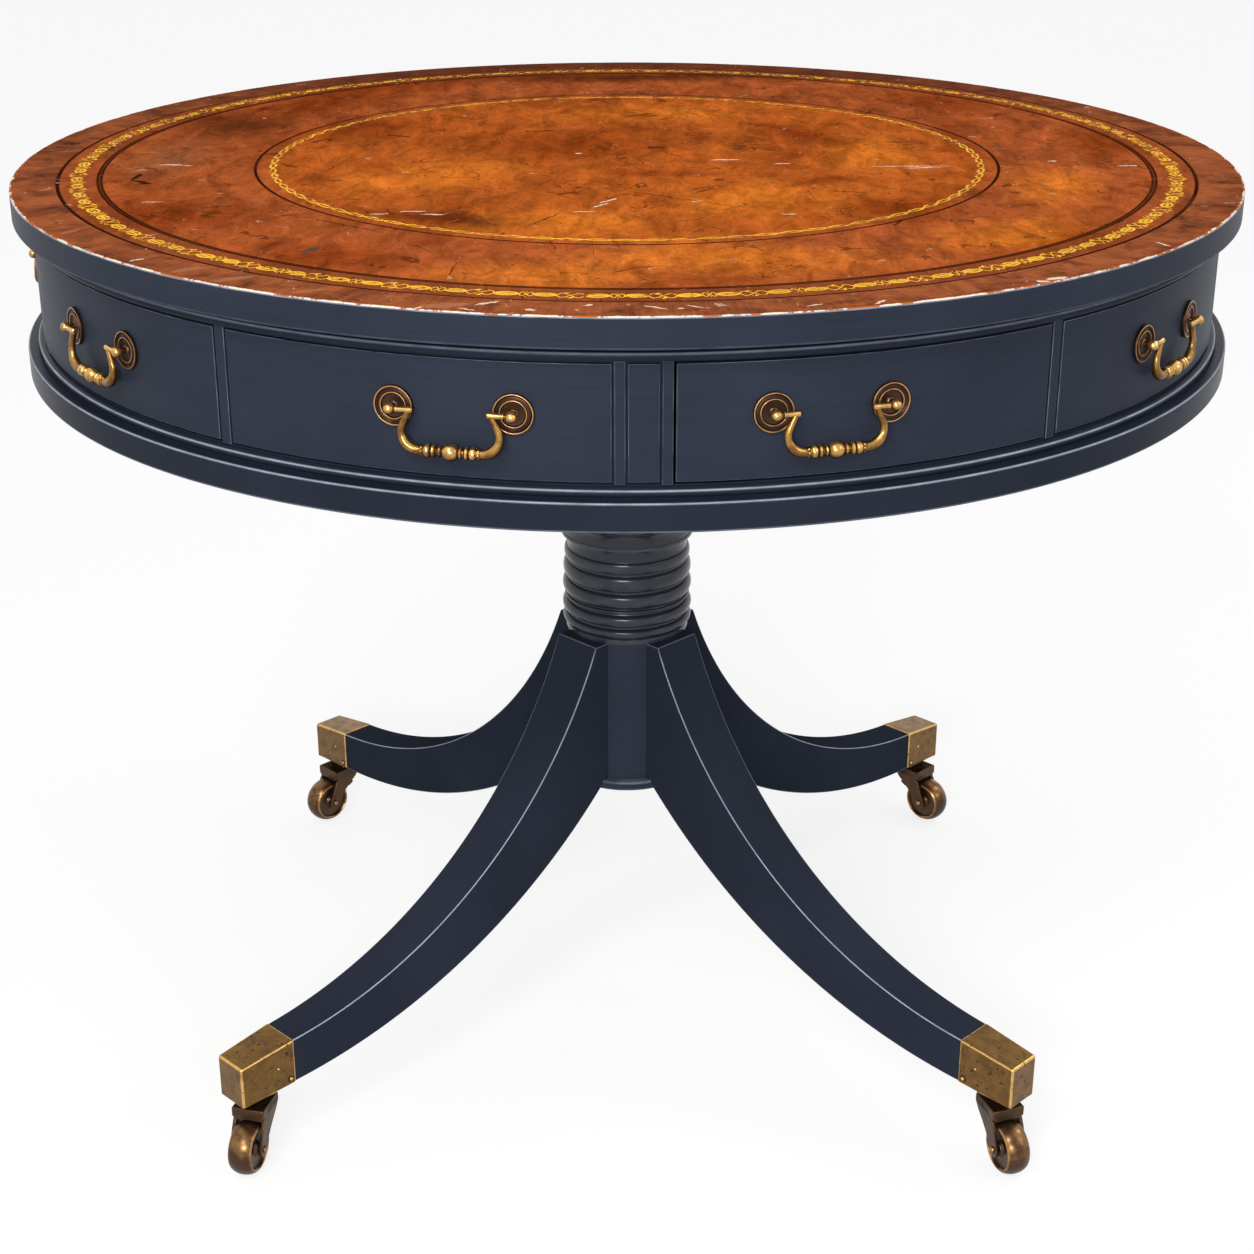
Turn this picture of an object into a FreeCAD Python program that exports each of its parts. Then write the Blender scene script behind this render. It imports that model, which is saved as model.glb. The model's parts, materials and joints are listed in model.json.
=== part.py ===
# Drum table: a round leather-lined top over a revolving drum of ten drawer fronts,
# on a ring-turned column with four sabre legs, brass toe caps and swivelling casters.
# Millimetres. Z is up, the wheels stand at zero and the front faces along minus Y.
import FreeCAD, Part
import math
import os

# Whole table
TABLE_HEIGHT = 760.0
TOP_RADIUS = 490.0
BOARD_THICKNESS = 21.7
BOARD_CHAMFER = 1.6
TOP_OVERHANG = 14.6          # the board reaches this far past the face of the drum
DRUM_TURN = 1.3              # degrees, how far the drum stands turned on its column

# Top lining: crossband and leather let into one recess
RIM_WIDTH = 3.0              # board left outside the recess
RECESS_DEPTH = 2.0
CROSSBAND_WIDTH = 32.0
LEATHER_DROP = 0.3           # the leather lies this much below the crossband

# Drum frieze
CORNICE_HEIGHT = 11.1
CORNICE_BEAD_HEIGHT = 4.8
CORNICE_BEAD_PROUD = 2.4
CORNICE_RECESS = 7.0
OPENING_HEIGHT = 82.2
RING_WIDTH = 35.4            # of the cornice and the base moulding, behind the face
BAY_COUNT = 5
BROAD_POST_WIDTH = 37.6
THIN_STILE_WIDTH = 8.2
POST_DEPTH = 25.0
REVEAL = 0.9                 # dark gap around every front
REVEAL_DEPTH = 4.0
INSET_PANEL_WIDTH = 20.0

# Base moulding of the drum
BAND_HEIGHT = 20.3
BAND_PROUD = 12.6
BAND_CHAMFER = 1.5
GROOVE_HEIGHT = 0.7
BEAD_HEIGHT = 5.3
BEAD_PROUD = 4.4
RAIL_HEIGHT = 2.0

# Drum floor and pivot
FLOOR_DROP = 8.0
FLOOR_THICKNESS = 14.0
PIVOT_PLATE_RADIUS = 60.0
PIVOT_PLATE_THICKNESS = 2.7
SPINDLE_RADIUS = 12.0
SPINDLE_SOCKET_DEPTH = 50.0
SPINDLE_RISE = 16.0
NUT_ACROSS_FLATS = 36.0
NUT_HEIGHT = 11.0
BEARER_RADIUS = 150.0
BEARER_THICKNESS = 28.0
BEARER_BEVEL = 12.0

# Drawers
FRONT_THICKNESS = 20.0
BOX_MARGIN = 17.4            # from the end of the front's back to the drawer's side
BOX_SIDE = 10.0
BOX_BACK = 10.0
BOX_HEADROOM = 15.2
BOX_BOTTOM = 6.0
BOX_BOTTOM_RISE = 3.0
RUNNER_HEIGHT = 10.7
RUNNER_WIDTH = 16.0
GUIDE_THICKNESS = 12.0
GUIDE_HEIGHT = 40.0
GUIDE_MARGIN = 6.9           # between the guides of neighbouring drawers
GUIDE_END = 12.0             # the guides start this far inside the drawers

# Handles
POST_SPACING = 80.0
HANDLE_DROP_SHARE = 0.436    # of the opening's height, from its top down to the handle's axis
FRONT_HANDLE_SHIFT = 33.5    # the two front handles stand this much nearer the middle
ROSETTE_RADIUS = 13.75
ROSETTE_RIM_WIDTH = 1.8
ROSETTE_THICKNESS = 2.4
ROSETTE_DISH = 1.0
ROSETTE_SIDES = 12
POST_RADIUS = 2.0
POST_BALL_RADIUS = 3.2
POST_SIDES = 8
POST_REACH = 8.5
BAIL_PIN_RADIUS = 1.5
BAIL_PIN_DEPTH = 1.2         # how far the pin passes the middle of the post's ball
BAIL_NECK = 27.5             # from the middle of the handle to each neck
BAIL_NECK_RADIUS = 2.1
BAIL_ARM_RADIUS = 2.9
BAIL_BEND_RADIUS = 11.5
BAIL_BEND_CENTRE = 21.3
BAIL_DROP = 26.0
BAIL_BALL_RADIUS = 5.4
BAIL_SIDES = 8
BAIL_BEND_SPANS = 4
BAIL_TURNING_PLACE_SHARES = (0.62, 0.50, 0.36, 0.20)
BAIL_TURNING_RADIUS_SHARES = (0.48, 0.74, 0.48, 0.90)

# Column
SHAFT_RADIUS = 52.0
COLLAR_RADIUS = 53.6
NECK_RADIUS = 52.6
NECK_HEIGHT = 77.0
NECK_PROUD = 3.8
NECK_COLLAR_SHARE = 0.065
NECK_BEAD_HEIGHT_SHARES = (0.136, 0.169, 0.058, 0.195, 0.214, 0.163)
NECK_BEAD_PROUD_SHARES = (0.90, 1.00, 0.50, 0.95, 0.80, 0.55)
BEAD_FLAT_SHARES = (0.28, 0.72)   # a bead is turned as two slopes and the flat between them
COVE_HEIGHT = 11.0
COVE_RADIUS = 56.0
STEP_HEIGHT = 2.5
STEP_RADIUS = 57.6
BELL_HEIGHT = 14.0
BELL_RADIUS = 63.0
CAPITAL_BEAD_HEIGHT = 10.0
CAPITAL_BEAD_PROUD = 5.0
UPPER_SHAFT_RADIUS = 60.0
COLUMN_END_RISE = 2.1         # the column ends this much above the legs' underside
CAP_DISC_PROUD = 7.0
CAP_DISC_THICKNESS = 8.4
CAP_DISC_CHAMFER = 1.5

# Legs
LEG_TOP = 348.0
LEG_SHOULDER = 9.4           # width of the flat on top of a leg
LEG_UNDERSIDE = 214.9
LEG_UPPER_RADIUS = 392.5
LEG_LOWER_RADIUS = 509.7
LEG_TOP_WIDTH = 47.0
LEG_FOOT_WIDTH = 34.0
FOOT_REACH = 400.0
FOOT_DEPTH = 39.3
TENON_WIDTH = 16.0
TENON_DEPTH = 22.0
TENON_MARGIN = 15.0

# Toe caps
TOE_LENGTH = 52.0
TOE_LIP = 0.7                # the cap stands this much proud of the leg
TOE_WALL = 1.6
TOE_END_WIDTH = 31.5
TOE_END_FALL = 5.4           # of the cap's top, from the foot to its outer end
TOE_END_DROP = 4.0           # of its underside
TOE_CHAMFER = 1.6
TOE_PLATE = 22.0
TOE_PLATE_DEPTH = 7.6

# Casters
WHEEL_TRAIL = 26.0
WHEEL_RADIUS = 22.3
WHEEL_WIDTH = 20.0
WHEEL_CROWN = 3.0            # how far the tread slopes away at its sides
WHEEL_SIDES = 24
FORK_GAP = 1.0
FORK_ARM = 3.0
FORK_HEADROOM = 5.1
FORK_CROWN_HEIGHT = 7.0
FORK_CROWN_BACK = 10.0
FORK_CROWN_FRONT = 12.0
FORK_ARM_END_RADIUS = 5.5
FORK_ARM_END_SPANS = 5
STEM_RADIUS = 4.5
STEM_LENGTH = 30.0
AXLE_RADIUS = 2.5
AXLE_END = 1.2               # how far the axle stands out of the fork
CASTER_PIN_SIDES = 12        # of stems, axles and their bores

# Fits
FLATNESS = 0.0001
RUNNING_GAP = 0.3            # between flat faces that slide or turn on each other
PIN_CLEARANCE = 0.05         # radial, between a pin and its bore
OVERRUN = 5.0                # how far a cut passes the face that it opens

# Levels, worked out from the top down
BOARD_BOTTOM = TABLE_HEIGHT - BOARD_THICKNESS
CORNICE_BOTTOM = BOARD_BOTTOM - CORNICE_HEIGHT
RAIL_TOP = CORNICE_BOTTOM - OPENING_HEIGHT
BASE_HEIGHT = BAND_HEIGHT + GROOVE_HEIGHT + BEAD_HEIGHT + RAIL_HEIGHT
BASE_BOTTOM = RAIL_TOP - BASE_HEIGHT
FLOOR_TOP = RAIL_TOP - FLOOR_DROP
FLOOR_BOTTOM = FLOOR_TOP - FLOOR_THICKNESS
PIVOT_PLATE_BOTTOM = FLOOR_BOTTOM - PIVOT_PLATE_THICKNESS
BEARER_TOP = PIVOT_PLATE_BOTTOM - RUNNING_GAP
BEARER_BOTTOM = BEARER_TOP - BEARER_THICKNESS
HANDLE_HEIGHT = CORNICE_BOTTOM - OPENING_HEIGHT * HANDLE_DROP_SHARE
RUNNER_TOP = FLOOR_TOP + RUNNER_HEIGHT
BOX_LOW = RUNNER_TOP + RUNNING_GAP
BOX_HEIGHT = CORNICE_BOTTOM - BOX_LOW - BOX_HEADROOM
COLUMN_BOTTOM = LEG_UNDERSIDE + COLUMN_END_RISE
TOE_PLATE_BOTTOM = 2 * WHEEL_RADIUS + FORK_HEADROOM + FORK_CROWN_HEIGHT + RUNNING_GAP
FOOT_UNDERSIDE = TOE_PLATE_BOTTOM + TOE_PLATE_DEPTH
FOOT_TOP = FOOT_UNDERSIDE + FOOT_DEPTH
TOE_END_TOP = FOOT_TOP - TOE_END_FALL
TOE_END_UNDERSIDE = FOOT_UNDERSIDE - TOE_END_DROP

# Radii, worked out from the rim inwards and from the shaft outwards
RECESS_RADIUS = TOP_RADIUS - RIM_WIDTH
FACE_RADIUS = TOP_RADIUS - TOP_OVERHANG
RING_INNER_RADIUS = FACE_RADIUS - RING_WIDTH
CAP_DISC_RADIUS = SHAFT_RADIUS + CAP_DISC_PROUD
LEG_TOP_REACH = SHAFT_RADIUS + LEG_SHOULDER
SWIVEL_REACH = FOOT_REACH + TOE_LENGTH / 2

# Angles in degrees, measured in plan about the middle of the table
FRONT_DIRECTION = -90.0
FULL_TURN = 360.0
BAY_PITCH = FULL_TURN / BAY_COUNT
BROAD_HALF_ANGLE = math.degrees(math.asin(BROAD_POST_WIDTH / 2 / FACE_RADIUS))
THIN_HALF_ANGLE = math.degrees(math.asin(THIN_STILE_WIDTH / 2 / FACE_RADIUS))
REVEAL_ANGLE = math.degrees(REVEAL / FACE_RADIUS)
OPENING_HALF_ANGLE = (BAY_PITCH / 2 - BROAD_HALF_ANGLE - THIN_HALF_ANGLE) / 2
OPENING_CENTRE = BROAD_HALF_ANGLE + OPENING_HALF_ANGLE
HANDLE_SHIFT_ANGLE = math.degrees(FRONT_HANDLE_SHIFT / FACE_RADIUS)
HANDLE_HALF_ANGLE = math.degrees(math.asin(POST_SPACING / 2 / FACE_RADIUS))
FRONT_HALF_ANGLE = OPENING_HALF_ANGLE - REVEAL_ANGLE
LEG_BEARINGS = {"front_left": -45.0, "front_right": 45.0, "back_left": -135.0, "back_right": 135.0}
TRAIL_BEARINGS = {"front_left": -15.0, "front_right": 20.0, "back_left": -45.0, "back_right": 45.0}

# Drawers, as wide as their fronts allow and as deep as their neighbours allow
BOX_HALF_WIDTH = (FACE_RADIUS - FRONT_THICKNESS) * math.sin(math.radians(FRONT_HALF_ANGLE)) - BOX_MARGIN
GUIDE_START = ((BOX_HALF_WIDTH + RUNNING_GAP + GUIDE_THICKNESS) / math.tan(math.radians(BAY_PITCH / 2))
               + GUIDE_MARGIN)
BOX_INNER_END = GUIDE_START + GUIDE_END

AXIS_Z = FreeCAD.Vector(0, 0, 1)
ORIGIN = FreeCAD.Vector(0, 0, 0)


def vec(x, y, z):
    return FreeCAD.Vector(x, y, z)


def turned_to(shape, bearing):
    """Turn a piece modelled along plus X so that it points to a bearing from the front."""
    turned = shape.copy()
    turned.rotate(ORIGIN, AXIS_Z, FRONT_DIRECTION + bearing)
    return turned


def disc(radius, low, high):
    return Part.makeCylinder(radius, high - low, vec(0, 0, low))


def line(a, b):
    return Part.LineSegment(a, b).toShape()


def arc(a, middle, b):
    return Part.Arc(a, middle, b).toShape()


def spun(points):
    """Turn a closed outline of (radius, height) points about the Z axis."""
    corners = [vec(radius, 0, height) for radius, height in points]
    return Part.Face(closed(corners)).revolve(ORIGIN, AXIS_Z, FULL_TURN)


def closed(points):
    return Part.makePolygon(points + points[:1])


def flat_faces(corners):
    """One flat face through four corners, or two where they don't lie in a plane."""
    a, b, c, d = corners
    normal = (b - a).cross(c - a)
    if normal.Length > 0 and abs((d - a).dot(normal)) / normal.Length < FLATNESS:
        return [Part.Face(closed(corners))]
    return [Part.Face(closed([a, b, c])), Part.Face(closed([a, c, d]))]


def skinned(loops):
    """A solid with flat facets from loop to loop, each loop having as many points."""
    faces = [Part.Face(closed(loops[0])), Part.Face(closed(loops[-1]))]
    for near, far in zip(loops, loops[1:]):
        for index in range(len(near)):
            after = (index + 1) % len(near)
            faces += flat_faces([near[index], near[after], far[after], far[index]])
    shell = Part.Shell(faces)
    shell.sewShape()
    return Part.makeSolid(shell).removeSplitter()


def faceted(profile, sides):
    """A small turned piece with flat sides, from (radius, height) points along Z."""
    loops = []
    for radius, height in profile:
        turns = [2 * math.pi * index / sides for index in range(sides)]
        loops.append([vec(radius * math.cos(turn), radius * math.sin(turn), height) for turn in turns])
    return skinned(loops)


def caster_pin(radius, low, high):
    """A stem or an axle along Z."""
    return faceted([(radius, low), (radius, high)], CASTER_PIN_SIDES)


def caster_bore(radius, low, high):
    """A bore whose flats stay clear of a pin of a given radius."""
    return caster_pin((radius + PIN_CLEARANCE) / math.cos(math.pi / CASTER_PIN_SIDES), low, high)


def bead(radius, low, high, proud):
    """Outline of a bead on a turned surface, without its first point."""
    rise = high - low
    flat = [(radius + proud, low + rise * share) for share in BEAD_FLAT_SHARES]
    return flat + [(radius, high)]


def block(x_low, x_high, y_low, y_high, z_low, z_high):
    return Part.makeBox(x_high - x_low, y_high - y_low, z_high - z_low, vec(x_low, y_low, z_low))


def sector(inner, outer, half_angle, low, high):
    """A piece of ring about plus X, with its sides cut along radii."""
    def at(radius, angle):
        turn = math.radians(angle)
        return vec(radius * math.cos(turn), radius * math.sin(turn), low)
    edges = [
        arc(at(outer, -half_angle), at(outer, 0), at(outer, half_angle)),
        line(at(outer, half_angle), at(inner, half_angle)),
        arc(at(inner, half_angle), at(inner, 0), at(inner, -half_angle)),
        line(at(inner, -half_angle), at(outer, -half_angle)),
    ]
    return Part.Face(Part.Wire(edges)).extrude(vec(0, 0, high - low))


def arc_middle(start, end, radius):
    """Middle of the arc of a given radius that sags below the line from start to end."""
    (x0, z0), (x1, z1) = start, end
    chord = math.hypot(x1 - x0, z1 - z0)
    sag = radius - math.sqrt(radius ** 2 - (chord / 2) ** 2)
    return (x0 + x1) / 2 + (z1 - z0) / chord * sag, (z0 + z1) / 2 - (x1 - x0) / chord * sag


# Top

def top_board():
    board = spun([
        (0, BOARD_BOTTOM), (TOP_RADIUS - BOARD_CHAMFER, BOARD_BOTTOM),
        (TOP_RADIUS, BOARD_BOTTOM + BOARD_CHAMFER), (TOP_RADIUS, TABLE_HEIGHT - BOARD_CHAMFER),
        (TOP_RADIUS - BOARD_CHAMFER, TABLE_HEIGHT), (RECESS_RADIUS, TABLE_HEIGHT),
        (RECESS_RADIUS, TABLE_HEIGHT - RECESS_DEPTH), (0, TABLE_HEIGHT - RECESS_DEPTH),
    ])
    return board


def crossband():
    floor = TABLE_HEIGHT - RECESS_DEPTH
    return disc(RECESS_RADIUS, floor, TABLE_HEIGHT).cut(
        disc(RECESS_RADIUS - CROSSBAND_WIDTH, floor - OVERRUN, TABLE_HEIGHT + OVERRUN))


def leather_panel():
    return disc(RECESS_RADIUS - CROSSBAND_WIDTH, TABLE_HEIGHT - RECESS_DEPTH, TABLE_HEIGHT - LEATHER_DROP)


# Drum

def cornice():
    bead_top = CORNICE_BOTTOM + CORNICE_BEAD_HEIGHT
    return spun([(RING_INNER_RADIUS, CORNICE_BOTTOM), (FACE_RADIUS, CORNICE_BOTTOM)]
                + bead(FACE_RADIUS, CORNICE_BOTTOM, bead_top, CORNICE_BEAD_PROUD)
                + [(FACE_RADIUS - CORNICE_RECESS, bead_top), (FACE_RADIUS - CORNICE_RECESS, BOARD_BOTTOM),
                   (RING_INNER_RADIUS, BOARD_BOTTOM)])


def base_moulding():
    """Flat band, groove, bead and rail, from the bottom up."""
    band = FACE_RADIUS + BAND_PROUD
    band_top = BASE_BOTTOM + BAND_HEIGHT
    groove_top = band_top + GROOVE_HEIGHT
    return spun([(RING_INNER_RADIUS, BASE_BOTTOM), (band, BASE_BOTTOM),
                 (band, band_top - BAND_CHAMFER), (band - BAND_CHAMFER, band_top),
                 (FACE_RADIUS, band_top), (FACE_RADIUS, groove_top)]
                + bead(FACE_RADIUS, groove_top, groove_top + BEAD_HEIGHT, BEAD_PROUD)
                + [(FACE_RADIUS, RAIL_TOP), (RING_INNER_RADIUS, RAIL_TOP)])


def drum_floor():
    return disc(RING_INNER_RADIUS, FLOOR_BOTTOM, FLOOR_TOP).cut(
        disc(SPINDLE_RADIUS + PIN_CLEARANCE + RUNNING_GAP, FLOOR_BOTTOM - OVERRUN, FLOOR_TOP + OVERRUN))


def pivot_plate():
    return disc(PIVOT_PLATE_RADIUS, PIVOT_PLATE_BOTTOM, FLOOR_BOTTOM).cut(
        disc(SPINDLE_RADIUS + PIN_CLEARANCE, PIVOT_PLATE_BOTTOM - OVERRUN, FLOOR_BOTTOM + OVERRUN))


def pocket_half_angle():
    return math.degrees(math.asin((INSET_PANEL_WIDTH / 2 + REVEAL) / FACE_RADIUS))


def frieze_posts():
    """Five broad posts, each with a pocket for its inset panel, and five thin stiles."""
    inner = FACE_RADIUS - POST_DEPTH
    broad = sector(inner, FACE_RADIUS, BROAD_HALF_ANGLE, RAIL_TOP, CORNICE_BOTTOM)
    broad = broad.cut(sector(FACE_RADIUS - REVEAL_DEPTH, FACE_RADIUS + OVERRUN, pocket_half_angle(),
                             RAIL_TOP - OVERRUN, CORNICE_BOTTOM + OVERRUN))
    thin = sector(inner, FACE_RADIUS, THIN_HALF_ANGLE, RAIL_TOP, CORNICE_BOTTOM)
    posts = []
    for bay in range(BAY_COUNT):
        bearing = DRUM_TURN + bay * BAY_PITCH
        posts.append(turned_to(broad, bearing))
        posts.append(turned_to(thin, bearing + BAY_PITCH / 2))
    return Part.makeCompound(posts)


def inset_panels():
    half_angle = math.degrees(math.asin(INSET_PANEL_WIDTH / 2 / FACE_RADIUS))
    panel = sector(FACE_RADIUS - REVEAL_DEPTH, FACE_RADIUS, half_angle,
                   RAIL_TOP + REVEAL, CORNICE_BOTTOM - REVEAL)
    return Part.makeCompound([turned_to(panel, DRUM_TURN + bay * BAY_PITCH) for bay in range(BAY_COUNT)])


def false_fronts():
    """Fixed fronts: the back fills the opening and the face leaves the reveal all round."""
    inner = FACE_RADIUS - FRONT_THICKNESS
    step = FACE_RADIUS - REVEAL_DEPTH
    back = sector(inner, step, OPENING_HALF_ANGLE, RAIL_TOP, CORNICE_BOTTOM)
    face = sector(step, FACE_RADIUS, FRONT_HALF_ANGLE,
                  RAIL_TOP + REVEAL, CORNICE_BOTTOM - REVEAL)
    front = back.fuse(face)
    return Part.makeCompound([turned_to(front, DRUM_TURN + bay * BAY_PITCH - OPENING_CENTRE)
                              for bay in range(BAY_COUNT)])


def drawer_rails():
    """A runner under each drawer side and a guide beside it, ending at the base moulding."""
    reach = disc(RING_INNER_RADIUS, FLOOR_TOP, CORNICE_BOTTOM)
    runner_edge = BOX_HALF_WIDTH + RUNNING_GAP
    pieces = []
    for side in (-1, 1):
        edges = sorted((side * (runner_edge - RUNNER_WIDTH), side * runner_edge))
        runner = block(GUIDE_START, RING_INNER_RADIUS, edges[0], edges[1], FLOOR_TOP, RUNNER_TOP)
        edges = sorted((side * runner_edge, side * (runner_edge + GUIDE_THICKNESS)))
        guide = block(GUIDE_START, RING_INNER_RADIUS, edges[0], edges[1], FLOOR_TOP, FLOOR_TOP + GUIDE_HEIGHT)
        pieces += [runner.common(reach), guide.common(reach)]
    rails = []
    for bay in range(BAY_COUNT):
        rails += [turned_to(piece, DRUM_TURN + bay * BAY_PITCH + OPENING_CENTRE) for piece in pieces]
    return Part.makeCompound(rails)


def drawer_front():
    return sector(FACE_RADIUS - FRONT_THICKNESS, FACE_RADIUS, FRONT_HALF_ANGLE,
                  RAIL_TOP + REVEAL, CORNICE_BOTTOM - REVEAL)


def drawer_box():
    """Two sides, a back and a bottom, ending at the hollow back of the drawer front."""
    reach = disc(FACE_RADIUS - FRONT_THICKNESS, BOX_LOW, BOX_LOW + BOX_HEIGHT)
    high = BOX_LOW + BOX_HEIGHT
    inside = BOX_HALF_WIDTH - BOX_SIDE
    sides = [block(BOX_INNER_END, FACE_RADIUS, -BOX_HALF_WIDTH, -inside, BOX_LOW, high).common(reach),
             block(BOX_INNER_END, FACE_RADIUS, inside, BOX_HALF_WIDTH, BOX_LOW, high).common(reach)]
    back = block(BOX_INNER_END, BOX_INNER_END + BOX_BACK, -inside, inside, BOX_LOW, high)
    bottom_low = BOX_LOW + BOX_BOTTOM_RISE
    bottom = block(BOX_INNER_END + BOX_BACK, FACE_RADIUS, -inside, inside,
                   bottom_low, bottom_low + BOX_BOTTOM).common(reach)
    return Part.makeCompound(sides + [back, bottom])


# Handles, modelled about plus X at the middle of their front

def ball_place(side):
    """Middle of a post's ball: across the handle, and out from the middle of the table."""
    turn = math.radians(HANDLE_HALF_ANGLE)
    reach = FACE_RADIUS + POST_REACH
    return side * reach * math.sin(turn), reach * math.cos(turn)


def rosette_and_post():
    """Dished rosette with a raised rim, and a ball-ended post, standing up along Z."""
    dish = ROSETTE_THICKNESS - ROSETTE_DISH
    rosette = faceted([(ROSETTE_RADIUS, 0), (ROSETTE_RADIUS, dish),
                       (ROSETTE_RADIUS - ROSETTE_RIM_WIDTH / 2, ROSETTE_THICKNESS),
                       (ROSETTE_RADIUS - ROSETTE_RIM_WIDTH, dish)], ROSETTE_SIDES)
    shoulder = POST_BALL_RADIUS / 2
    post = faceted([(POST_RADIUS, dish), (POST_RADIUS, POST_REACH - POST_BALL_RADIUS),
                    (POST_BALL_RADIUS, POST_REACH - shoulder), (POST_BALL_RADIUS, POST_REACH + shoulder),
                    (shoulder, POST_REACH + POST_BALL_RADIUS)], POST_SIDES)
    return rosette, post


def cross_pin(radius, start, end, out):
    """A pin along the handle's axis, with as many sides as the bail."""
    return skinned([bail_section(start, 0, 0, radius, out), bail_section(end, 0, 0, radius, out)])


def handle_mounts():
    """Both rosettes with their posts, each bored for the bail's pin."""
    solids = []
    for side in (-1, 1):
        across, out = ball_place(side)
        # The bore's flats stay clear of the pin by the pin clearance
        radius = (BAIL_PIN_RADIUS + PIN_CLEARANCE) / math.cos(math.pi / BAIL_SIDES)
        bore = cross_pin(radius, across - side * (POST_BALL_RADIUS + OVERRUN),
                         across + side * (BAIL_PIN_DEPTH + RUNNING_GAP), out)
        for solid in rosette_and_post():
            solid.rotate(ORIGIN, vec(0, 1, 0), -FRONT_DIRECTION)
            solid.translate(vec(FACE_RADIUS, 0, HANDLE_HEIGHT))
            solid.rotate(ORIGIN, AXIS_Z, side * HANDLE_HALF_ANGLE)
            solids.append(solid.cut(bore))
    return solids


def bail_section(across, drop, lean, radius, out):
    """Corners of the bail's section, square to its run. Lean is the run's angle in degrees."""
    turn = math.radians(lean)
    corners = []
    for index in range(BAIL_SIDES):
        angle = 2 * math.pi * (index + 1 / 2) / BAIL_SIDES
        aside = radius * math.cos(angle)
        corners.append(vec(out + radius * math.sin(angle), across - aside * math.sin(turn),
                           HANDLE_HEIGHT - drop + aside * math.cos(turn)))
    return corners


def bail():
    """Swan-neck bail: pins in the posts, necks, two bends and a turned middle."""
    post_across, out = ball_place(1)
    bend_drop = BAIL_DROP - BAIL_BEND_RADIUS
    # The neck runs straight from the pin to the bend, and meets the bend without a kink
    reach = BAIL_NECK - BAIL_BEND_CENTRE
    distance = math.hypot(reach, bend_drop)
    lean = -math.degrees(math.pi / 2 - math.atan2(reach, bend_drop) + math.asin(BAIL_BEND_RADIUS / distance))
    places = [(-BAIL_NECK, 0, lean, BAIL_NECK_RADIUS)]
    for step in range(BAIL_BEND_SPANS + 1):
        share = step / BAIL_BEND_SPANS
        run = lean * (1 - share)
        turn = math.radians(run)
        radius = BAIL_NECK_RADIUS + (BAIL_ARM_RADIUS - BAIL_NECK_RADIUS) * share
        places.append((-BAIL_BEND_CENTRE + BAIL_BEND_RADIUS * math.sin(turn),
                       bend_drop + BAIL_BEND_RADIUS * math.cos(turn), run, radius))
    for place, share in zip(BAIL_TURNING_PLACE_SHARES, BAIL_TURNING_RADIUS_SHARES):
        places.append((-BAIL_BEND_CENTRE * place, BAIL_DROP, 0, BAIL_BALL_RADIUS * share))
    places += [(-across, drop, -run, radius) for across, drop, run, radius in reversed(places)]
    body = skinned([bail_section(*place, out) for place in places])
    for side in (-1, 1):
        body = body.fuse(cross_pin(BAIL_PIN_RADIUS, side * (BAIL_NECK - BAIL_NECK_RADIUS),
                                   side * (post_across + BAIL_PIN_DEPTH), out))
    return body


# Column

def neck_profile():
    """Outline from the leg tops up to the cove: a collar and six beads."""
    height = LEG_TOP + NECK_HEIGHT * NECK_COLLAR_SHARE
    points = [(COLLAR_RADIUS, LEG_TOP), (COLLAR_RADIUS, height), (NECK_RADIUS, height)]
    for height_share, proud_share in zip(NECK_BEAD_HEIGHT_SHARES, NECK_BEAD_PROUD_SHARES):
        rise = NECK_HEIGHT * height_share
        points += bead(NECK_RADIUS, height, height + rise, NECK_PROUD * proud_share)
        height += rise
    return points


def hollow(start, end, radius):
    """Two slopes that follow a hollow curve, without the first point."""
    return [arc_middle(end, start, radius), end]


def capital_profile():
    """Outline of the cove, step, bell and bead above the neck, up to the bearer block."""
    height = LEG_TOP + NECK_HEIGHT
    cove_top = height + COVE_HEIGHT
    step_top = cove_top + STEP_HEIGHT
    bell_top = step_top + BELL_HEIGHT
    bead_top = bell_top + CAPITAL_BEAD_HEIGHT
    return (hollow((NECK_RADIUS, height), (COVE_RADIUS, cove_top), 2 * COVE_HEIGHT)
            + [(STEP_RADIUS, cove_top), (STEP_RADIUS, step_top)]
            + hollow((STEP_RADIUS, step_top), (BELL_RADIUS, bell_top), 2 * BELL_HEIGHT)
            + bead(BELL_RADIUS, bell_top, bead_top, CAPITAL_BEAD_PROUD)
            + [(UPPER_SHAFT_RADIUS, bead_top), (UPPER_SHAFT_RADIUS, BEARER_BOTTOM)])


def leg_tenon():
    return block(SHAFT_RADIUS - TENON_DEPTH, LEG_TOP_REACH, -TENON_WIDTH / 2, TENON_WIDTH / 2,
                 COLUMN_BOTTOM + TENON_MARGIN, LEG_TOP - TENON_MARGIN)


def column():
    body = spun([(0, COLUMN_BOTTOM), (SHAFT_RADIUS, COLUMN_BOTTOM), (SHAFT_RADIUS, LEG_TOP)]
                + neck_profile() + capital_profile() + [(0, BEARER_BOTTOM)])
    for bearing in LEG_BEARINGS.values():
        body = body.cut(turned_to(leg_tenon(), bearing))
    return body.cut(disc(SPINDLE_RADIUS, BEARER_BOTTOM - SPINDLE_SOCKET_DEPTH, BEARER_BOTTOM + OVERRUN))


def column_cap():
    low = COLUMN_BOTTOM - CAP_DISC_THICKNESS
    return spun([(0, low), (CAP_DISC_RADIUS - CAP_DISC_CHAMFER, low),
                 (CAP_DISC_RADIUS, low + CAP_DISC_CHAMFER), (CAP_DISC_RADIUS, COLUMN_BOTTOM),
                 (0, COLUMN_BOTTOM)])


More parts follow.
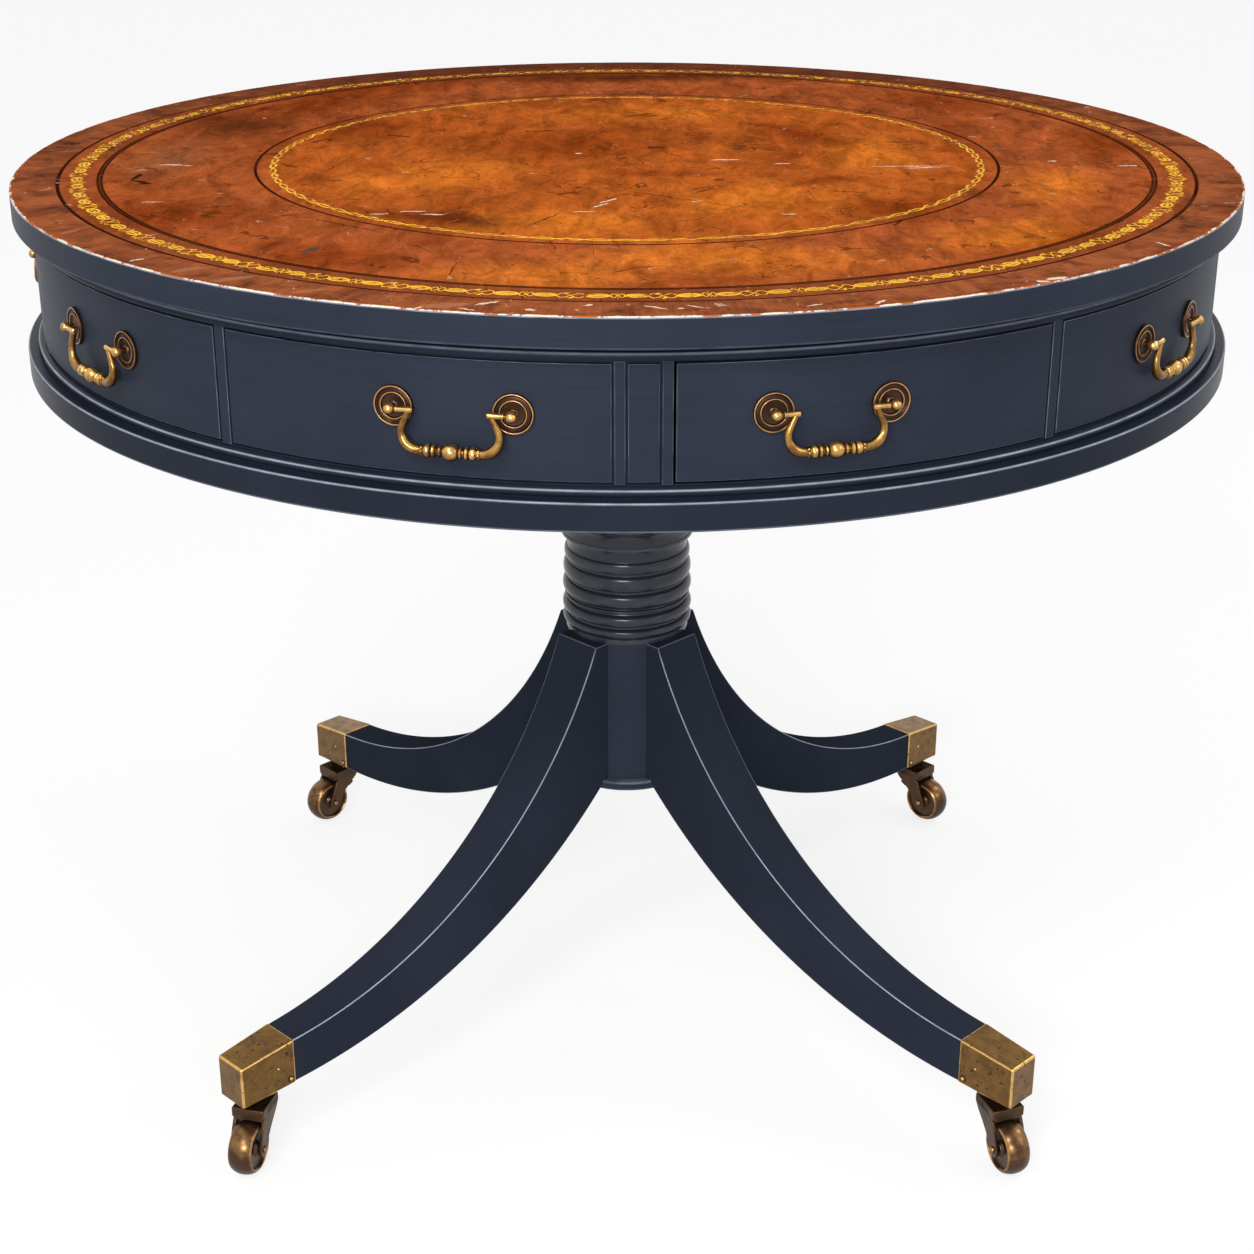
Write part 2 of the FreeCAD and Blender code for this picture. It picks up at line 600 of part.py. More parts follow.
def bearer_block():
    body = spun([(0, BEARER_BOTTOM), (BEARER_RADIUS - BEARER_BEVEL, BEARER_BOTTOM),
                 (BEARER_RADIUS, BEARER_BOTTOM + BEARER_BEVEL), (BEARER_RADIUS, BEARER_TOP),
                 (0, BEARER_TOP)])
    return body.cut(disc(SPINDLE_RADIUS, BEARER_BOTTOM - OVERRUN, BEARER_TOP + OVERRUN))


def swivel_spindle():
    return disc(SPINDLE_RADIUS, BEARER_BOTTOM - SPINDLE_SOCKET_DEPTH, FLOOR_TOP + SPINDLE_RISE)


def spindle_nut():
    low = FLOOR_TOP + RUNNING_GAP
    radius = NUT_ACROSS_FLATS / 2 / math.cos(math.pi / 6)
    corners = [vec(radius * math.cos(step * math.pi / 3), radius * math.sin(step * math.pi / 3), low)
               for step in range(6)]
    body = Part.Face(closed(corners)).extrude(vec(0, 0, NUT_HEIGHT))
    return body.cut(disc(SPINDLE_RADIUS, low - OVERRUN, low + NUT_HEIGHT + OVERRUN))


# Legs and toe caps, modelled along plus X

def frustum(start, end, start_half, end_half, start_low, start_high, end_low, end_high):
    """A box whose section changes evenly from one end to the other."""
    def section(x, half, low, high):
        return [vec(x, -half, low), vec(x, half, low), vec(x, half, high), vec(x, -half, high)]
    return skinned([section(start, start_half, start_low, start_high),
                    section(end, end_half, end_low, end_high)])


def toe_outside():
    return frustum(FOOT_REACH, FOOT_REACH + TOE_LENGTH, LEG_FOOT_WIDTH / 2 + TOE_LIP, TOE_END_WIDTH / 2,
                   FOOT_UNDERSIDE - TOE_LIP, FOOT_TOP + TOE_LIP, TOE_END_UNDERSIDE, TOE_END_TOP)


def toe_inside():
    wall = TOE_WALL
    return frustum(FOOT_REACH, FOOT_REACH + TOE_LENGTH - wall,
                   LEG_FOOT_WIDTH / 2 + TOE_LIP - wall, TOE_END_WIDTH / 2 - wall,
                   FOOT_UNDERSIDE - TOE_LIP + wall, FOOT_TOP + TOE_LIP - wall,
                   TOE_END_UNDERSIDE + wall, TOE_END_TOP - wall)


def stem_bore(high):
    bore = caster_bore(STEM_RADIUS, TOE_PLATE_BOTTOM - OVERRUN, high)
    bore.translate(vec(SWIVEL_REACH, 0, 0))
    return bore


def stem_top():
    return TOE_PLATE_BOTTOM - RUNNING_GAP + STEM_LENGTH


def leg():
    top_corner = (LEG_TOP_REACH, LEG_TOP)
    foot_top = (FOOT_REACH, FOOT_TOP)
    foot_low = (FOOT_REACH, FOOT_UNDERSIDE)
    under_corner = (SHAFT_RADIUS, LEG_UNDERSIDE)
    inner = SHAFT_RADIUS - TENON_DEPTH / 2
    upper = arc_middle(top_corner, foot_top, LEG_UPPER_RADIUS)
    lower = arc_middle(under_corner, foot_low, LEG_LOWER_RADIUS)

    def at(point):
        return vec(point[0], -LEG_TOP_WIDTH, point[1])
    edges = [
        line(at((inner, LEG_TOP)), at(top_corner)),
        arc(at(top_corner), at(upper), at(foot_top)),
        line(at(foot_top), at(foot_low)),
        arc(at(foot_low), at(lower), at(under_corner)),
        line(at(under_corner), at((inner, LEG_UNDERSIDE))),
        line(at((inner, LEG_UNDERSIDE)), at((inner, LEG_TOP))),
    ]
    body = Part.Face(Part.Wire(edges)).extrude(vec(0, 2 * LEG_TOP_WIDTH, 0))
    top_half = LEG_TOP_WIDTH / 2
    foot_half = LEG_FOOT_WIDTH / 2
    slope = (top_half - foot_half) / (FOOT_REACH - LEG_TOP_REACH)
    inner_half = top_half + slope * (LEG_TOP_REACH - inner)
    plan = frustum(inner, FOOT_REACH, inner_half, foot_half, 0, LEG_TOP, 0, LEG_TOP)
    body = body.common(plan)
    body = body.cut(disc(SHAFT_RADIUS, COLUMN_BOTTOM - OVERRUN, LEG_TOP + OVERRUN))
    body = body.cut(disc(CAP_DISC_RADIUS, 0, COLUMN_BOTTOM))
    body = body.fuse(leg_tenon()).fuse(toe_inside())
    return body.cut(stem_bore(stem_top() + RUNNING_GAP))


def toe_cap():
    """Hollow brass cap over the foot, and the square plate that the caster turns under."""
    outside = toe_outside()
    rounded = [edge for edge in outside.Edges
               if edge.BoundBox.XMax > FOOT_REACH + TOE_LENGTH / 2]
    shell = outside.makeChamfer(TOE_CHAMFER, rounded).cut(toe_inside())
    half = TOE_PLATE / 2
    plate = block(SWIVEL_REACH - half, SWIVEL_REACH + half, -half, half, TOE_PLATE_BOTTOM, FOOT_UNDERSIDE)
    plate = plate.cut(toe_outside())
    bore = stem_bore(stem_top())
    return Part.makeCompound([shell.cut(bore), plate.cut(bore)])


# Casters, modelled along plus X with the stem on the Z axis

def across_axle(piece):
    """Lay a piece that was made along Z on the caster's axle."""
    piece.rotate(ORIGIN, vec(1, 0, 0), FRONT_DIRECTION)
    piece.translate(vec(WHEEL_TRAIL, 0, WHEEL_RADIUS))
    return piece


def caster_fork():
    """Crown with its stem, two arms and the axle riveted through them."""
    crown_top = TOE_PLATE_BOTTOM - RUNNING_GAP
    crown_low = crown_top - FORK_CROWN_HEIGHT
    inner = WHEEL_WIDTH / 2 + FORK_GAP
    outer = inner + FORK_ARM
    crown = block(-FORK_CROWN_BACK, FORK_CROWN_FRONT, -outer, outer, crown_low, crown_top)
    body = crown.fuse(caster_pin(STEM_RADIUS, crown_top, crown_top + STEM_LENGTH))
    outline = [(-FORK_CROWN_BACK, crown_low), (-FORK_CROWN_BACK, crown_top), (FORK_CROWN_FRONT, crown_top)]
    for step in range(FORK_ARM_END_SPANS + 1):
        turn = math.pi / 4 - math.pi * step / FORK_ARM_END_SPANS
        outline.append((WHEEL_TRAIL + FORK_ARM_END_RADIUS * math.cos(turn),
                        WHEEL_RADIUS + FORK_ARM_END_RADIUS * math.sin(turn)))
    for low in (-outer, inner):
        arm = Part.Face(closed([vec(x, low, z) for x, z in outline]))
        body = body.fuse(arm.extrude(vec(0, FORK_ARM, 0)))
    axle = across_axle(caster_pin(AXLE_RADIUS, -outer - AXLE_END, outer + AXLE_END))
    return Part.makeCompound([body.cut(axle), axle])


def caster_wheel():
    """Wheel whose tread slopes away at both sides, bored for its axle."""
    half = WHEEL_WIDTH / 2
    shoulder = half * 2 / 3
    edge = WHEEL_RADIUS - WHEEL_CROWN
    wheel = faceted([(edge, -half), (WHEEL_RADIUS, -shoulder), (WHEEL_RADIUS, shoulder), (edge, half)],
                    WHEEL_SIDES)
    return across_axle(wheel.cut(caster_bore(AXLE_RADIUS, -WHEEL_WIDTH, WHEEL_WIDTH)))


def under_leg(shape, corner):
    """Put a caster's piece under its leg's toe cap, trailing as it does at rest."""
    placed = turned_to(shape, TRAIL_BEARINGS[corner])
    swivel = math.radians(FRONT_DIRECTION + LEG_BEARINGS[corner])
    placed.translate(vec(SWIVEL_REACH * math.cos(swivel), SWIVEL_REACH * math.sin(swivel), 0))
    return placed


def handle_bearings(bay):
    """Bearings of a bay's two handles, on its drawer and on its false front."""
    shift = HANDLE_SHIFT_ANGLE if bay == 0 else 0
    middle = DRUM_TURN + bay * BAY_PITCH
    return middle + OPENING_CENTRE - shift, middle - OPENING_CENTRE + shift


def all_pieces():
    pieces = {
        "column": column(), "column_cap": column_cap(), "bearer_block": bearer_block(),
        "swivel_spindle": swivel_spindle(), "spindle_nut": spindle_nut(),
        "top_board": top_board(), "crossband": crossband(), "leather_panel": leather_panel(),
        "cornice": cornice(), "base_moulding": base_moulding(), "drum_floor": drum_floor(),
        "pivot_plate": pivot_plate(), "frieze_posts": frieze_posts(), "inset_panels": inset_panels(),
        "false_fronts": false_fronts(), "drawer_rails": drawer_rails(),
    }
    for name, bearing in LEG_BEARINGS.items():
        pieces["leg_" + name] = turned_to(leg(), bearing)
        pieces["toe_cap_" + name] = turned_to(toe_cap(), bearing)
        pieces["caster_fork_" + name] = under_leg(caster_fork(), name)
        pieces["caster_wheel_" + name] = under_leg(caster_wheel(), name)
    mounts = Part.makeCompound(handle_mounts())
    false_mounts = []
    for bay in range(BAY_COUNT):
        number = str(bay + 1)
        bearing = DRUM_TURN + bay * BAY_PITCH + OPENING_CENTRE
        drawer_handle, false_handle = handle_bearings(bay)
        pieces["drawer_front_" + number] = turned_to(drawer_front(), bearing)
        pieces["drawer_box_" + number] = turned_to(drawer_box(), bearing)
        pieces["handle_mounts_" + number] = turned_to(mounts, drawer_handle)
        pieces["bail_drawer_" + number] = turned_to(bail(), drawer_handle)
        pieces["bail_false_" + number] = turned_to(bail(), false_handle)
        false_mounts += turned_to(mounts, false_handle).Solids
    pieces["handle_mounts_false"] = Part.makeCompound(false_mounts)
    return pieces


def main():
    os.makedirs("parts", exist_ok=True)
    for name, shape in all_pieces().items():
        shape.exportStep(os.path.join("parts", name + ".step"))
        state = "valid" if shape.isValid() else "BAD"
        print(name, len(shape.Solids), "solids", round(shape.Volume), "mm3", state)


if __name__ == "__main__":
    main()
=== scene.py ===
"""A round drum table: gold-tooled leather top, dark blue painted drum and legs, brass handles and casters."""
import json
from functools import partial
from math import asin, atan2, cos, degrees, hypot, pi, radians, sin, sqrt

import bmesh
import bpy
from bpy.props import FloatProperty, FloatVectorProperty, IntProperty, PointerProperty
from mathutils import Matrix, Vector


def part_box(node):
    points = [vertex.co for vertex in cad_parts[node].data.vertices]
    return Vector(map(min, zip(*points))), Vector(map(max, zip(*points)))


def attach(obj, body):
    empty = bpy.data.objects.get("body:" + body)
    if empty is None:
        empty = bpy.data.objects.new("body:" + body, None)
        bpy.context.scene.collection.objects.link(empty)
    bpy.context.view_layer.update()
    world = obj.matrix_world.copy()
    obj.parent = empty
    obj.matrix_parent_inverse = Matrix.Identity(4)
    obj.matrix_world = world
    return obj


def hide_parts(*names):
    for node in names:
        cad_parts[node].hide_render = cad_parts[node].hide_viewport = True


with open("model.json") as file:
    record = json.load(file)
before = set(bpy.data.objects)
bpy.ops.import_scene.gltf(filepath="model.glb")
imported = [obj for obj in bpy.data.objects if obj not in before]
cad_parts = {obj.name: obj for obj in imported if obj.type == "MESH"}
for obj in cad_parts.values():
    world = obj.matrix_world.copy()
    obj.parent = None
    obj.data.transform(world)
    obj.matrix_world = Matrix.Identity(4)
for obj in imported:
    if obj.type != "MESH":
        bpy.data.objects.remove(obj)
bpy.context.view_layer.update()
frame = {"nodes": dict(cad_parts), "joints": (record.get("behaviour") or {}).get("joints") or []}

bl_info = {
    "name": "Drum Table",
    "version": (1, 0, 0),
    "blender": (4, 5, 0),
    "location": "View3D > Sidebar > Drum Table",
    "description": "Models the finish and the fine shapes of a drum table round its frame",
    "category": "Add Mesh",
}

MM = 0.001
FULL_TURN = 2 * pi
UP = Vector((0, 0, 1))
LAID_DOWN = Matrix.Rotation(pi / 2, 4, "X")     # turns what stands along Z to lie along Y
WHITE = (1, 1, 1)
JOINTS = {joint["name"]: joint for joint in frame["joints"]}
BAYS = (1, 2, 3, 4, 5)
CORNERS = ("front_left", "front_right", "back_left", "back_right")
CREASE = radians(38)          # edges sharper than this stay sharp
WELD = 1e-6
EDGE_FADE = 0.6 * MM               # how far the worn look of an edge reaches past its rounding

# Levels and radii that the frame gives
TOP_LOW, TOP_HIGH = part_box("top_board")
CORNICE_LOW, CORNICE_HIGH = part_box("cornice")
BASE_LOW, BASE_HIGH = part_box("base_moulding")
LINING_LOW, LINING_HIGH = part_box("crossband")
LEATHER_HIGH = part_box("leather_panel")[1]
COLUMN_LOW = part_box("column")[0]
CAP_LOW, CAP_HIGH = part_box("column_cap")
BEARER_LOW, BEARER_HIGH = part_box("bearer_block")


def linear(code):
    """Linear colour from an sRGB hex code."""
    shares = [int(code[place:place + 2], 16) / 255 for place in (1, 3, 5)]
    return tuple(share / 12.92 if share <= 0.04045 else ((share + 0.055) / 1.055) ** 2.4 for share in shares)


def length_of(label, about, millimetres):
    return FloatProperty(name=label, description=about, default=millimetres * MM, unit="LENGTH")


def colour_of(label, code, about):
    return FloatVectorProperty(name=label, description=about, subtype="COLOR", size=3, min=0, max=1,
                               default=linear(code))


class DrumTableTop(bpy.types.PropertyGroup):
    rim_round: length_of("Rim rounding", "Rounding of the board's rims", 1.2)
    border_line: length_of("Border line", "Radius of the dark line inside the gold border", 421.6)
    border_tooling: length_of("Border tooling", "Radius of the gold border's middle", 438.5)
    inner_line: length_of("Inner line", "Radius of the dark line round the inner field", 300.5)
    inner_tooling: length_of("Inner tooling", "Radius of the inner gold line", 286.5)
    border_repeats: IntProperty(name="Border repeats", description="Repeats of the gold border", default=47)
    inner_repeats: IntProperty(name="Inner repeats", description="Repeats of the inner gold line", default=90)


class DrumTableDrum(bpy.types.PropertyGroup):
    face_radius: length_of("Face radius", "Radius of the drawer fronts", 475.4)
    post_width: length_of("Post width", "Width of a broad post", 37.6)
    stile_width: length_of("Stile width", "Width of a thin stile", 8.2)
    panel_width: length_of("Panel width", "Width of a post's inset panel", 20)
    reveal: length_of("Reveal", "Dark gap round each front", 1.8)
    reveal_depth: length_of("Reveal depth", "Depth of that gap", 4)
    front_thickness: length_of("Front thickness", "Thickness of a drawer front", 20)
    post_depth: length_of("Post depth", "Depth of the posts", 25)
    edge_round: length_of("Edge rounding", "Rounding of the fronts' edges", 0.5)


class DrumTableHandle(bpy.types.PropertyGroup):
    spacing: length_of("Post spacing", "Between a handle's two posts", 80)
    rosette_radius: length_of("Rosette radius", "Radius of a rosette", 13.75)
    post_reach: length_of("Post reach", "From the front to the middle of the ball", 8.5)
    ball_radius: length_of("Ball radius", "Radius of the post's ball", 3.8)
    neck: length_of("Neck", "From the middle to the neck of the bail", 27.5)
    bend_centre: length_of("Bend centre", "From the middle to the bend's centre", 21.3)
    bend_radius: length_of("Bend radius", "Radius of the bail's bend", 11.5)
    drop: length_of("Drop", "From the pins down to the grip", 26)


class DrumTableColumn(bpy.types.PropertyGroup):
    shaft_radius: length_of("Shaft radius", "Radius of the shaft between the legs", 52)
    neck_radius: length_of("Neck radius", "Radius between the beads", 52.6)
    neck_height: length_of("Neck height", "Height of the turned neck", 77)
    bead_proud: length_of("Bead", "How far the largest bead stands out", 3.9)


class DrumTableLeg(bpy.types.PropertyGroup):
    top: length_of("Leg top", "Height of the leg's top", 348)
    top_reach: length_of("Top reach", "Radius of the leg's upper corner", 61.4)
    underside: length_of("Underside", "Height where the underside meets the column", 214.9)
    upper_curve: length_of("Upper curve", "Radius of the leg's upper curve", 392.5)
    lower_curve: length_of("Lower curve", "Radius of the leg's lower curve", 509.7)
    top_width: length_of("Top width", "Width at the column", 47)
    foot_width: length_of("Foot width", "Width at the toe cap", 34)
    foot_reach: length_of("Foot reach", "Radius where the toe cap starts", 400)
    foot_top: length_of("Foot top", "Height of the foot's upper edge", 103.9)
    foot_underside: length_of("Foot underside", "Height of the foot's lower edge", 64.6)
    edge_round: length_of("Edge rounding", "Rounding of the leg's edges", 0.9)


class DrumTableCaster(bpy.types.PropertyGroup):
    cap_length: length_of("Cap length", "Length of the toe cap", 52)
    cap_end_width: length_of("Cap end width", "Width of the cap's outer end", 31.5)
    cap_end_top: length_of("Cap end top", "Height of the outer end's upper edge", 98.5)
    cap_end_underside: length_of("Cap end underside", "Height of the outer end's lower edge", 60.6)
    wheel_radius: length_of("Wheel radius", "Radius of the wheel", 22.3)
    wheel_width: length_of("Wheel width", "Width of the wheel", 20)


class DrumTableFinish(bpy.types.PropertyGroup):
    paint: colour_of("Paint", "#2a2f3b", "Body colour of the drum, column and legs")
    # Paler paint on edges and crests: partly paint worn thin, partly a painted highlight.
    paint_wear_and_highlight: colour_of("Rubbed paint", "#aab4c4", "Paint worn thin along the edges")
    chipped_wood: colour_of("Chipped wood", "#f0d8bd", "Bare wood and ground coat in the chips")
    veneer: colour_of("Crossband", "#a55b35", "Red-brown veneer of the crossband")
    veneer_dark: colour_of("Dark crossband", "#50291f", "Darkened patches of the crossband")
    leather: colour_of("Leather", "#a8542a", "Leather in the outer field")
    leather_light: colour_of("Rubbed leather", "#b55a22", "Leather in the inner field")
    leather_dark: colour_of("Dark leather", "#7a3212", "Clouds and borders of the leather")
    gold: colour_of("Gold", "#ffc62e", "Gold leaf in the tooling")
    brass: colour_of("Brass", "#94642a", "Brass of the handles")
    # Bright brass on edges and crests: partly brass worn by hands, partly a painted highlight.
    brass_wear_and_highlight: colour_of("Bright brass", "#f6c678", "Brass where hands rub it")
    patina: colour_of("Patina", "#33221a", "Brown of old brass in the hollows")
    rosette_brass: colour_of("Rosette brass", "#4a3426", "Darkened brass of the rosettes")
    # Used where rosettes and casters are marked worn and lit: partly worn brass, partly a painted highlight.
    rosette_edge: colour_of("Rosette edges", "#d8a066", "Brass on the crests of the rosettes' rings")
    cap_brass: colour_of("Toe cap brass", "#8f6a36", "Aged brass of the toe caps")
    caster_brass: colour_of("Caster brass", "#5c4630", "Brown brass of the forks and wheels")


GROUPS = {
    "drum_table_top": DrumTableTop,
    "drum_table_drum": DrumTableDrum,
    "drum_table_handle": DrumTableHandle,
    "drum_table_column": DrumTableColumn,
    "drum_table_leg": DrumTableLeg,
    "drum_table_caster": DrumTableCaster,
    "drum_table_finish": DrumTableFinish,
}


def group(name):
    """The sizes or colours of one property group."""
    return getattr(bpy.context.scene, "drum_table_" + name)


# Modelling

def profile(radius, height, *steps):
    """Points of an outline. Each is given in mm from a place: outwards, upwards, and how far it is worn and
    lit, partly wear and partly a painted highlight.
    """
    return [(radius + out * MM, height + up * MM, *rubbed) for out, up, *rubbed in steps]


def arc(centre_radius, centre_height, radius, start, end, steps, rubbed=0.0):
    """Points of an arc in an outline, with angles in degrees from the outward direction."""
    turns = [radians(start + (end - start) * step / steps) for step in range(steps + 1)]
    return [(centre_radius + radius * cos(turn), centre_height + radius * sin(turn), rubbed)
            for turn in turns]


def lit_arc(centre_radius, centre_height, radius, start, end, steps, rubbed):
    """An arc marked worn and lit only along its middle: a painted highlight along its crest, with some wear.
    """
    points = arc(centre_radius, centre_height, radius, start, end, steps)
    return [(x, z, rubbed * sin(pi * step / steps) ** 4) for step, (x, z, _) in enumerate(points)]


def sideways(side, x, y, z):
    """Place what stands up along Z so that it points to one side of the X axis."""
    return Matrix.Translation((x, y, z)) @ Matrix.Rotation(-side * pi / 2, 4, "X")


def worn_mesh():
    """An empty mesh that records where it is worn and where a highlight is painted."""
    bm = bmesh.new()
    bm.verts.layers.float.new("rubbed")
    return bm


def weld(bm):
    """Join points that lie on each other, and turn all faces outwards."""
    bmesh.ops.remove_doubles(bm, verts=bm.verts, dist=WELD)
    bmesh.ops.recalc_face_normals(bm, faces=bm.faces)


def second_material(bm, chosen):
    """Give the faces whose middle and normal pass a test the second material of their piece."""
    for face in bm.faces:
        if chosen(face.calc_center_median(), face.normal):
            face.material_index = 1


def turned(outline, steps, ring=False):
    """Turn an outline of (radius, height, wear and highlight) points about Z. A ring's outline closes on
    itself.
    """
    bm = bmesh.new()
    layer = bm.verts.layers.float.new("rubbed")
    verts = []
    for radius, height, *rubbed in outline:
        vert = bm.verts.new((radius, 0, height))
        vert[layer] = rubbed[0] if rubbed else 0.0
        verts.append(vert)
    edges = [bm.edges.new(pair) for pair in zip(verts, verts[1:])]
    if ring:
        edges.append(bm.edges.new((verts[-1], verts[0])))
    bmesh.ops.spin(bm, geom=verts + edges, cent=(0, 0, 0), axis=UP, angle=FULL_TURN, steps=steps,
                   use_merge=True)
    weld(bm)
    return bm


def rounded_side(radius, low, high, rounding, low_wear_and_highlight, high_wear_and_highlight):
    """An outline's upright side, with both of its edges rounded and marked for wear and a painted highlight.
    """
    side = arc(radius - rounding, low + rounding, rounding, -90, 0, 4, low_wear_and_highlight)
    side += [(radius, low + rounding + EDGE_FADE), (radius, high - rounding - EDGE_FADE)]
    return side + arc(radius - rounding, high - rounding, rounding, 0, 90, 4, high_wear_and_highlight)


def round_edges(bm, width, segments=3, sharper=radians(25), chosen=None, rubbed=1.0):
    """Round the sharp edges, and mark the middle of each rounding as worn and lit: partly wear, partly a
    painted highlight.
    """
    layer = bm.verts.layers.float.get("rubbed") or bm.verts.layers.float.new("rubbed")
    edges = [edge for edge in bm.edges if len(edge.link_faces) == 2 and edge.calc_face_angle(0) > sharper
             and (not chosen or chosen(edge))]
    made = bmesh.ops.bevel(bm, geom=edges, offset=width, offset_type="OFFSET", affect="EDGES",
                           segments=segments, profile=0.5, material=-1, clamp_overlap=True)
    rounding = set(made["faces"])
    for vert in made["verts"]:
        if all(face in rounding for face in vert.link_faces):
            vert[layer] = rubbed
    return rounding


def add_part(bm, part, matrix=Matrix()):
    """Add a modelled part to a piece, moved to its place, and free it."""
    part.transform(matrix)
    mesh = bpy.data.meshes.new("part")
    part.to_mesh(mesh)
    part.free()
    bm.from_mesh(mesh)
    bpy.data.meshes.remove(mesh)


def add_block(bm, reach, half_width, rise):
    """Add a square block from and to a distance along X and a height, equally wide on both sides of it."""
    middle = Matrix.Translation((sum(reach) / 2, 0, sum(rise) / 2))
    size = Matrix.Diagonal((reach[1] - reach[0], 2 * half_width, rise[1] - rise[0], 1))
    bmesh.ops.create_cube(bm, size=1, matrix=middle @ size)


def facing(bearing):
    """Turn a part modelled along plus X to a bearing in degrees from the front."""
    return Matrix.Rotation(radians(bearing - 90), 4, "Z")


def bearing_of(x, y):
    return degrees(atan2(x, -y))


def add_object(name, data, place=(0, 0, 0), turn=(0, 0, 0)):
    """Put an object in the scene at a place, turned by angles in radians."""
    made = bpy.data.objects.new(name, data)
    made.location, made.rotation_euler = place, turn
    bpy.context.scene.collection.objects.link(made)
    return made


def make_piece(name, bm, body, materials, nodes=()):
    """Turn a bmesh into a finished piece that rides on its body and stands for its nodes."""
    mesh = bpy.data.meshes.new(name)
    bm.to_mesh(mesh)
    bm.free()
    for material in materials:
        mesh.materials.append(material)
    mesh.shade_smooth()
    mesh.set_sharp_from_angle(angle=CREASE)
    piece = add_object(name, mesh)
    weighted = piece.modifiers.new("Even shading", "WEIGHTED_NORMAL")
    weighted.keep_sharp = True
    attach(piece, body)
    if nodes:
        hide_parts(*nodes)


def finish_node(name, material):
    """Give a node of the frame its finish."""
    node = frame["nodes"][name]
    node.data.materials.clear()
    node.data.materials.append(material)


# Materials

def plug(value, socket):
    """Feed a socket with a constant, a node's first live output or a (node, output) pair."""
    if isinstance(value, bpy.types.Node):
        value = next(output for output in value.outputs if output.enabled)
    elif isinstance(value, tuple) and isinstance(value[0], bpy.types.Node):
        value = value[0].outputs[value[1]]
    if isinstance(value, bpy.types.NodeSocket):
        socket.id_data.links.new(value, socket)
    elif socket.type == "RGBA":
        socket.default_value = (*value, 1.0)
    else:
        socket.default_value = value


def add_node(tree, kind, *inputs, **named):
    """Add a shader node, where what it computes follows its kind.

    Its live inputs come in order or by name, and all other names are settings."""
    kind, *choice = kind.split()
    node = tree.nodes.new("ShaderNode" + kind)
    if choice:
        setattr(node, "data_type" if kind == "Mix" else "operation", choice[0])
    by_name = {name: name.replace("_", " ").title() for name in named}
    for name, value in named.items():
        if by_name[name] not in node.inputs:
            setattr(node, name, value)
    for value, socket in zip(inputs, [socket for socket in node.inputs if socket.enabled]):
        plug(value, socket)
    for name, value in named.items():
        if by_name[name] in node.inputs:
            plug(value, node.inputs[by_name[name]])
    return node


def start_material(name):
    """A new material, the way to add nodes to it, its shader, and the coordinates of the object it is on."""
    if name in bpy.data.materials:
        bpy.data.materials.remove(bpy.data.materials[name])
    material = bpy.data.materials.new(name)
    material.use_nodes = True
    add = partial(add_node, material.node_tree)
    shader = material.node_tree.nodes["Principled BSDF"]
    return material, add, shader, (add("TexCoord"), "Object")


def end_material(add, shader, colour, roughness, height=None, depth=0.0, gloss=None, metal=None):
    """Plug the results into the shader, with a bump of a depth where a height is given."""
    bump = add("Bump", height=height, strength=1.0, distance=depth) if height else None
    for name, value in (("Base Color", colour), ("Roughness", roughness), ("Normal", bump),
                        ("Specular IOR Level", gloss), ("Metallic", metal)):
        if value is not None:
            plug(value, shader.inputs[name])


def around(add, place, radius, length, spacing):
    """Coordinates for marks that run round the Z axis, a length long and a spacing apart."""
    flat = add("VectorMath MULTIPLY", place, (1, 1, 0))
    outward = add("VectorMath NORMALIZE", flat)
    ring = add("VectorMath SCALE", outward, radius / length)
    rise = add("VectorMath MULTIPLY", place, (0, 0, 1 / spacing))
    return add("VectorMath ADD", ring, rise)


def along_leg(add, place, length, spacing):
    """Coordinates for marks that run down a leg, whichever corner it stands at."""
    parts = add("SeparateXYZ", place)
    flat = add("VectorMath MULTIPLY", place, (1, 1, 0))
    reach = add("VectorMath LENGTH", flat)
    down = add("Math SUBTRACT", reach, (parts, "Z"))
    over = add("Math ADD", reach, (parts, "Z"))
    across_x = add("Math ABSOLUTE", (parts, "X"))
    across_y = add("Math ABSOLUTE", (parts, "Y"))
    across = add("Math SUBTRACT", across_x, across_y)
    joined = add("CombineXYZ", down, over, across)
    return add("VectorMath MULTIPLY", joined, (1 / length, 1 / spacing, 1 / spacing))


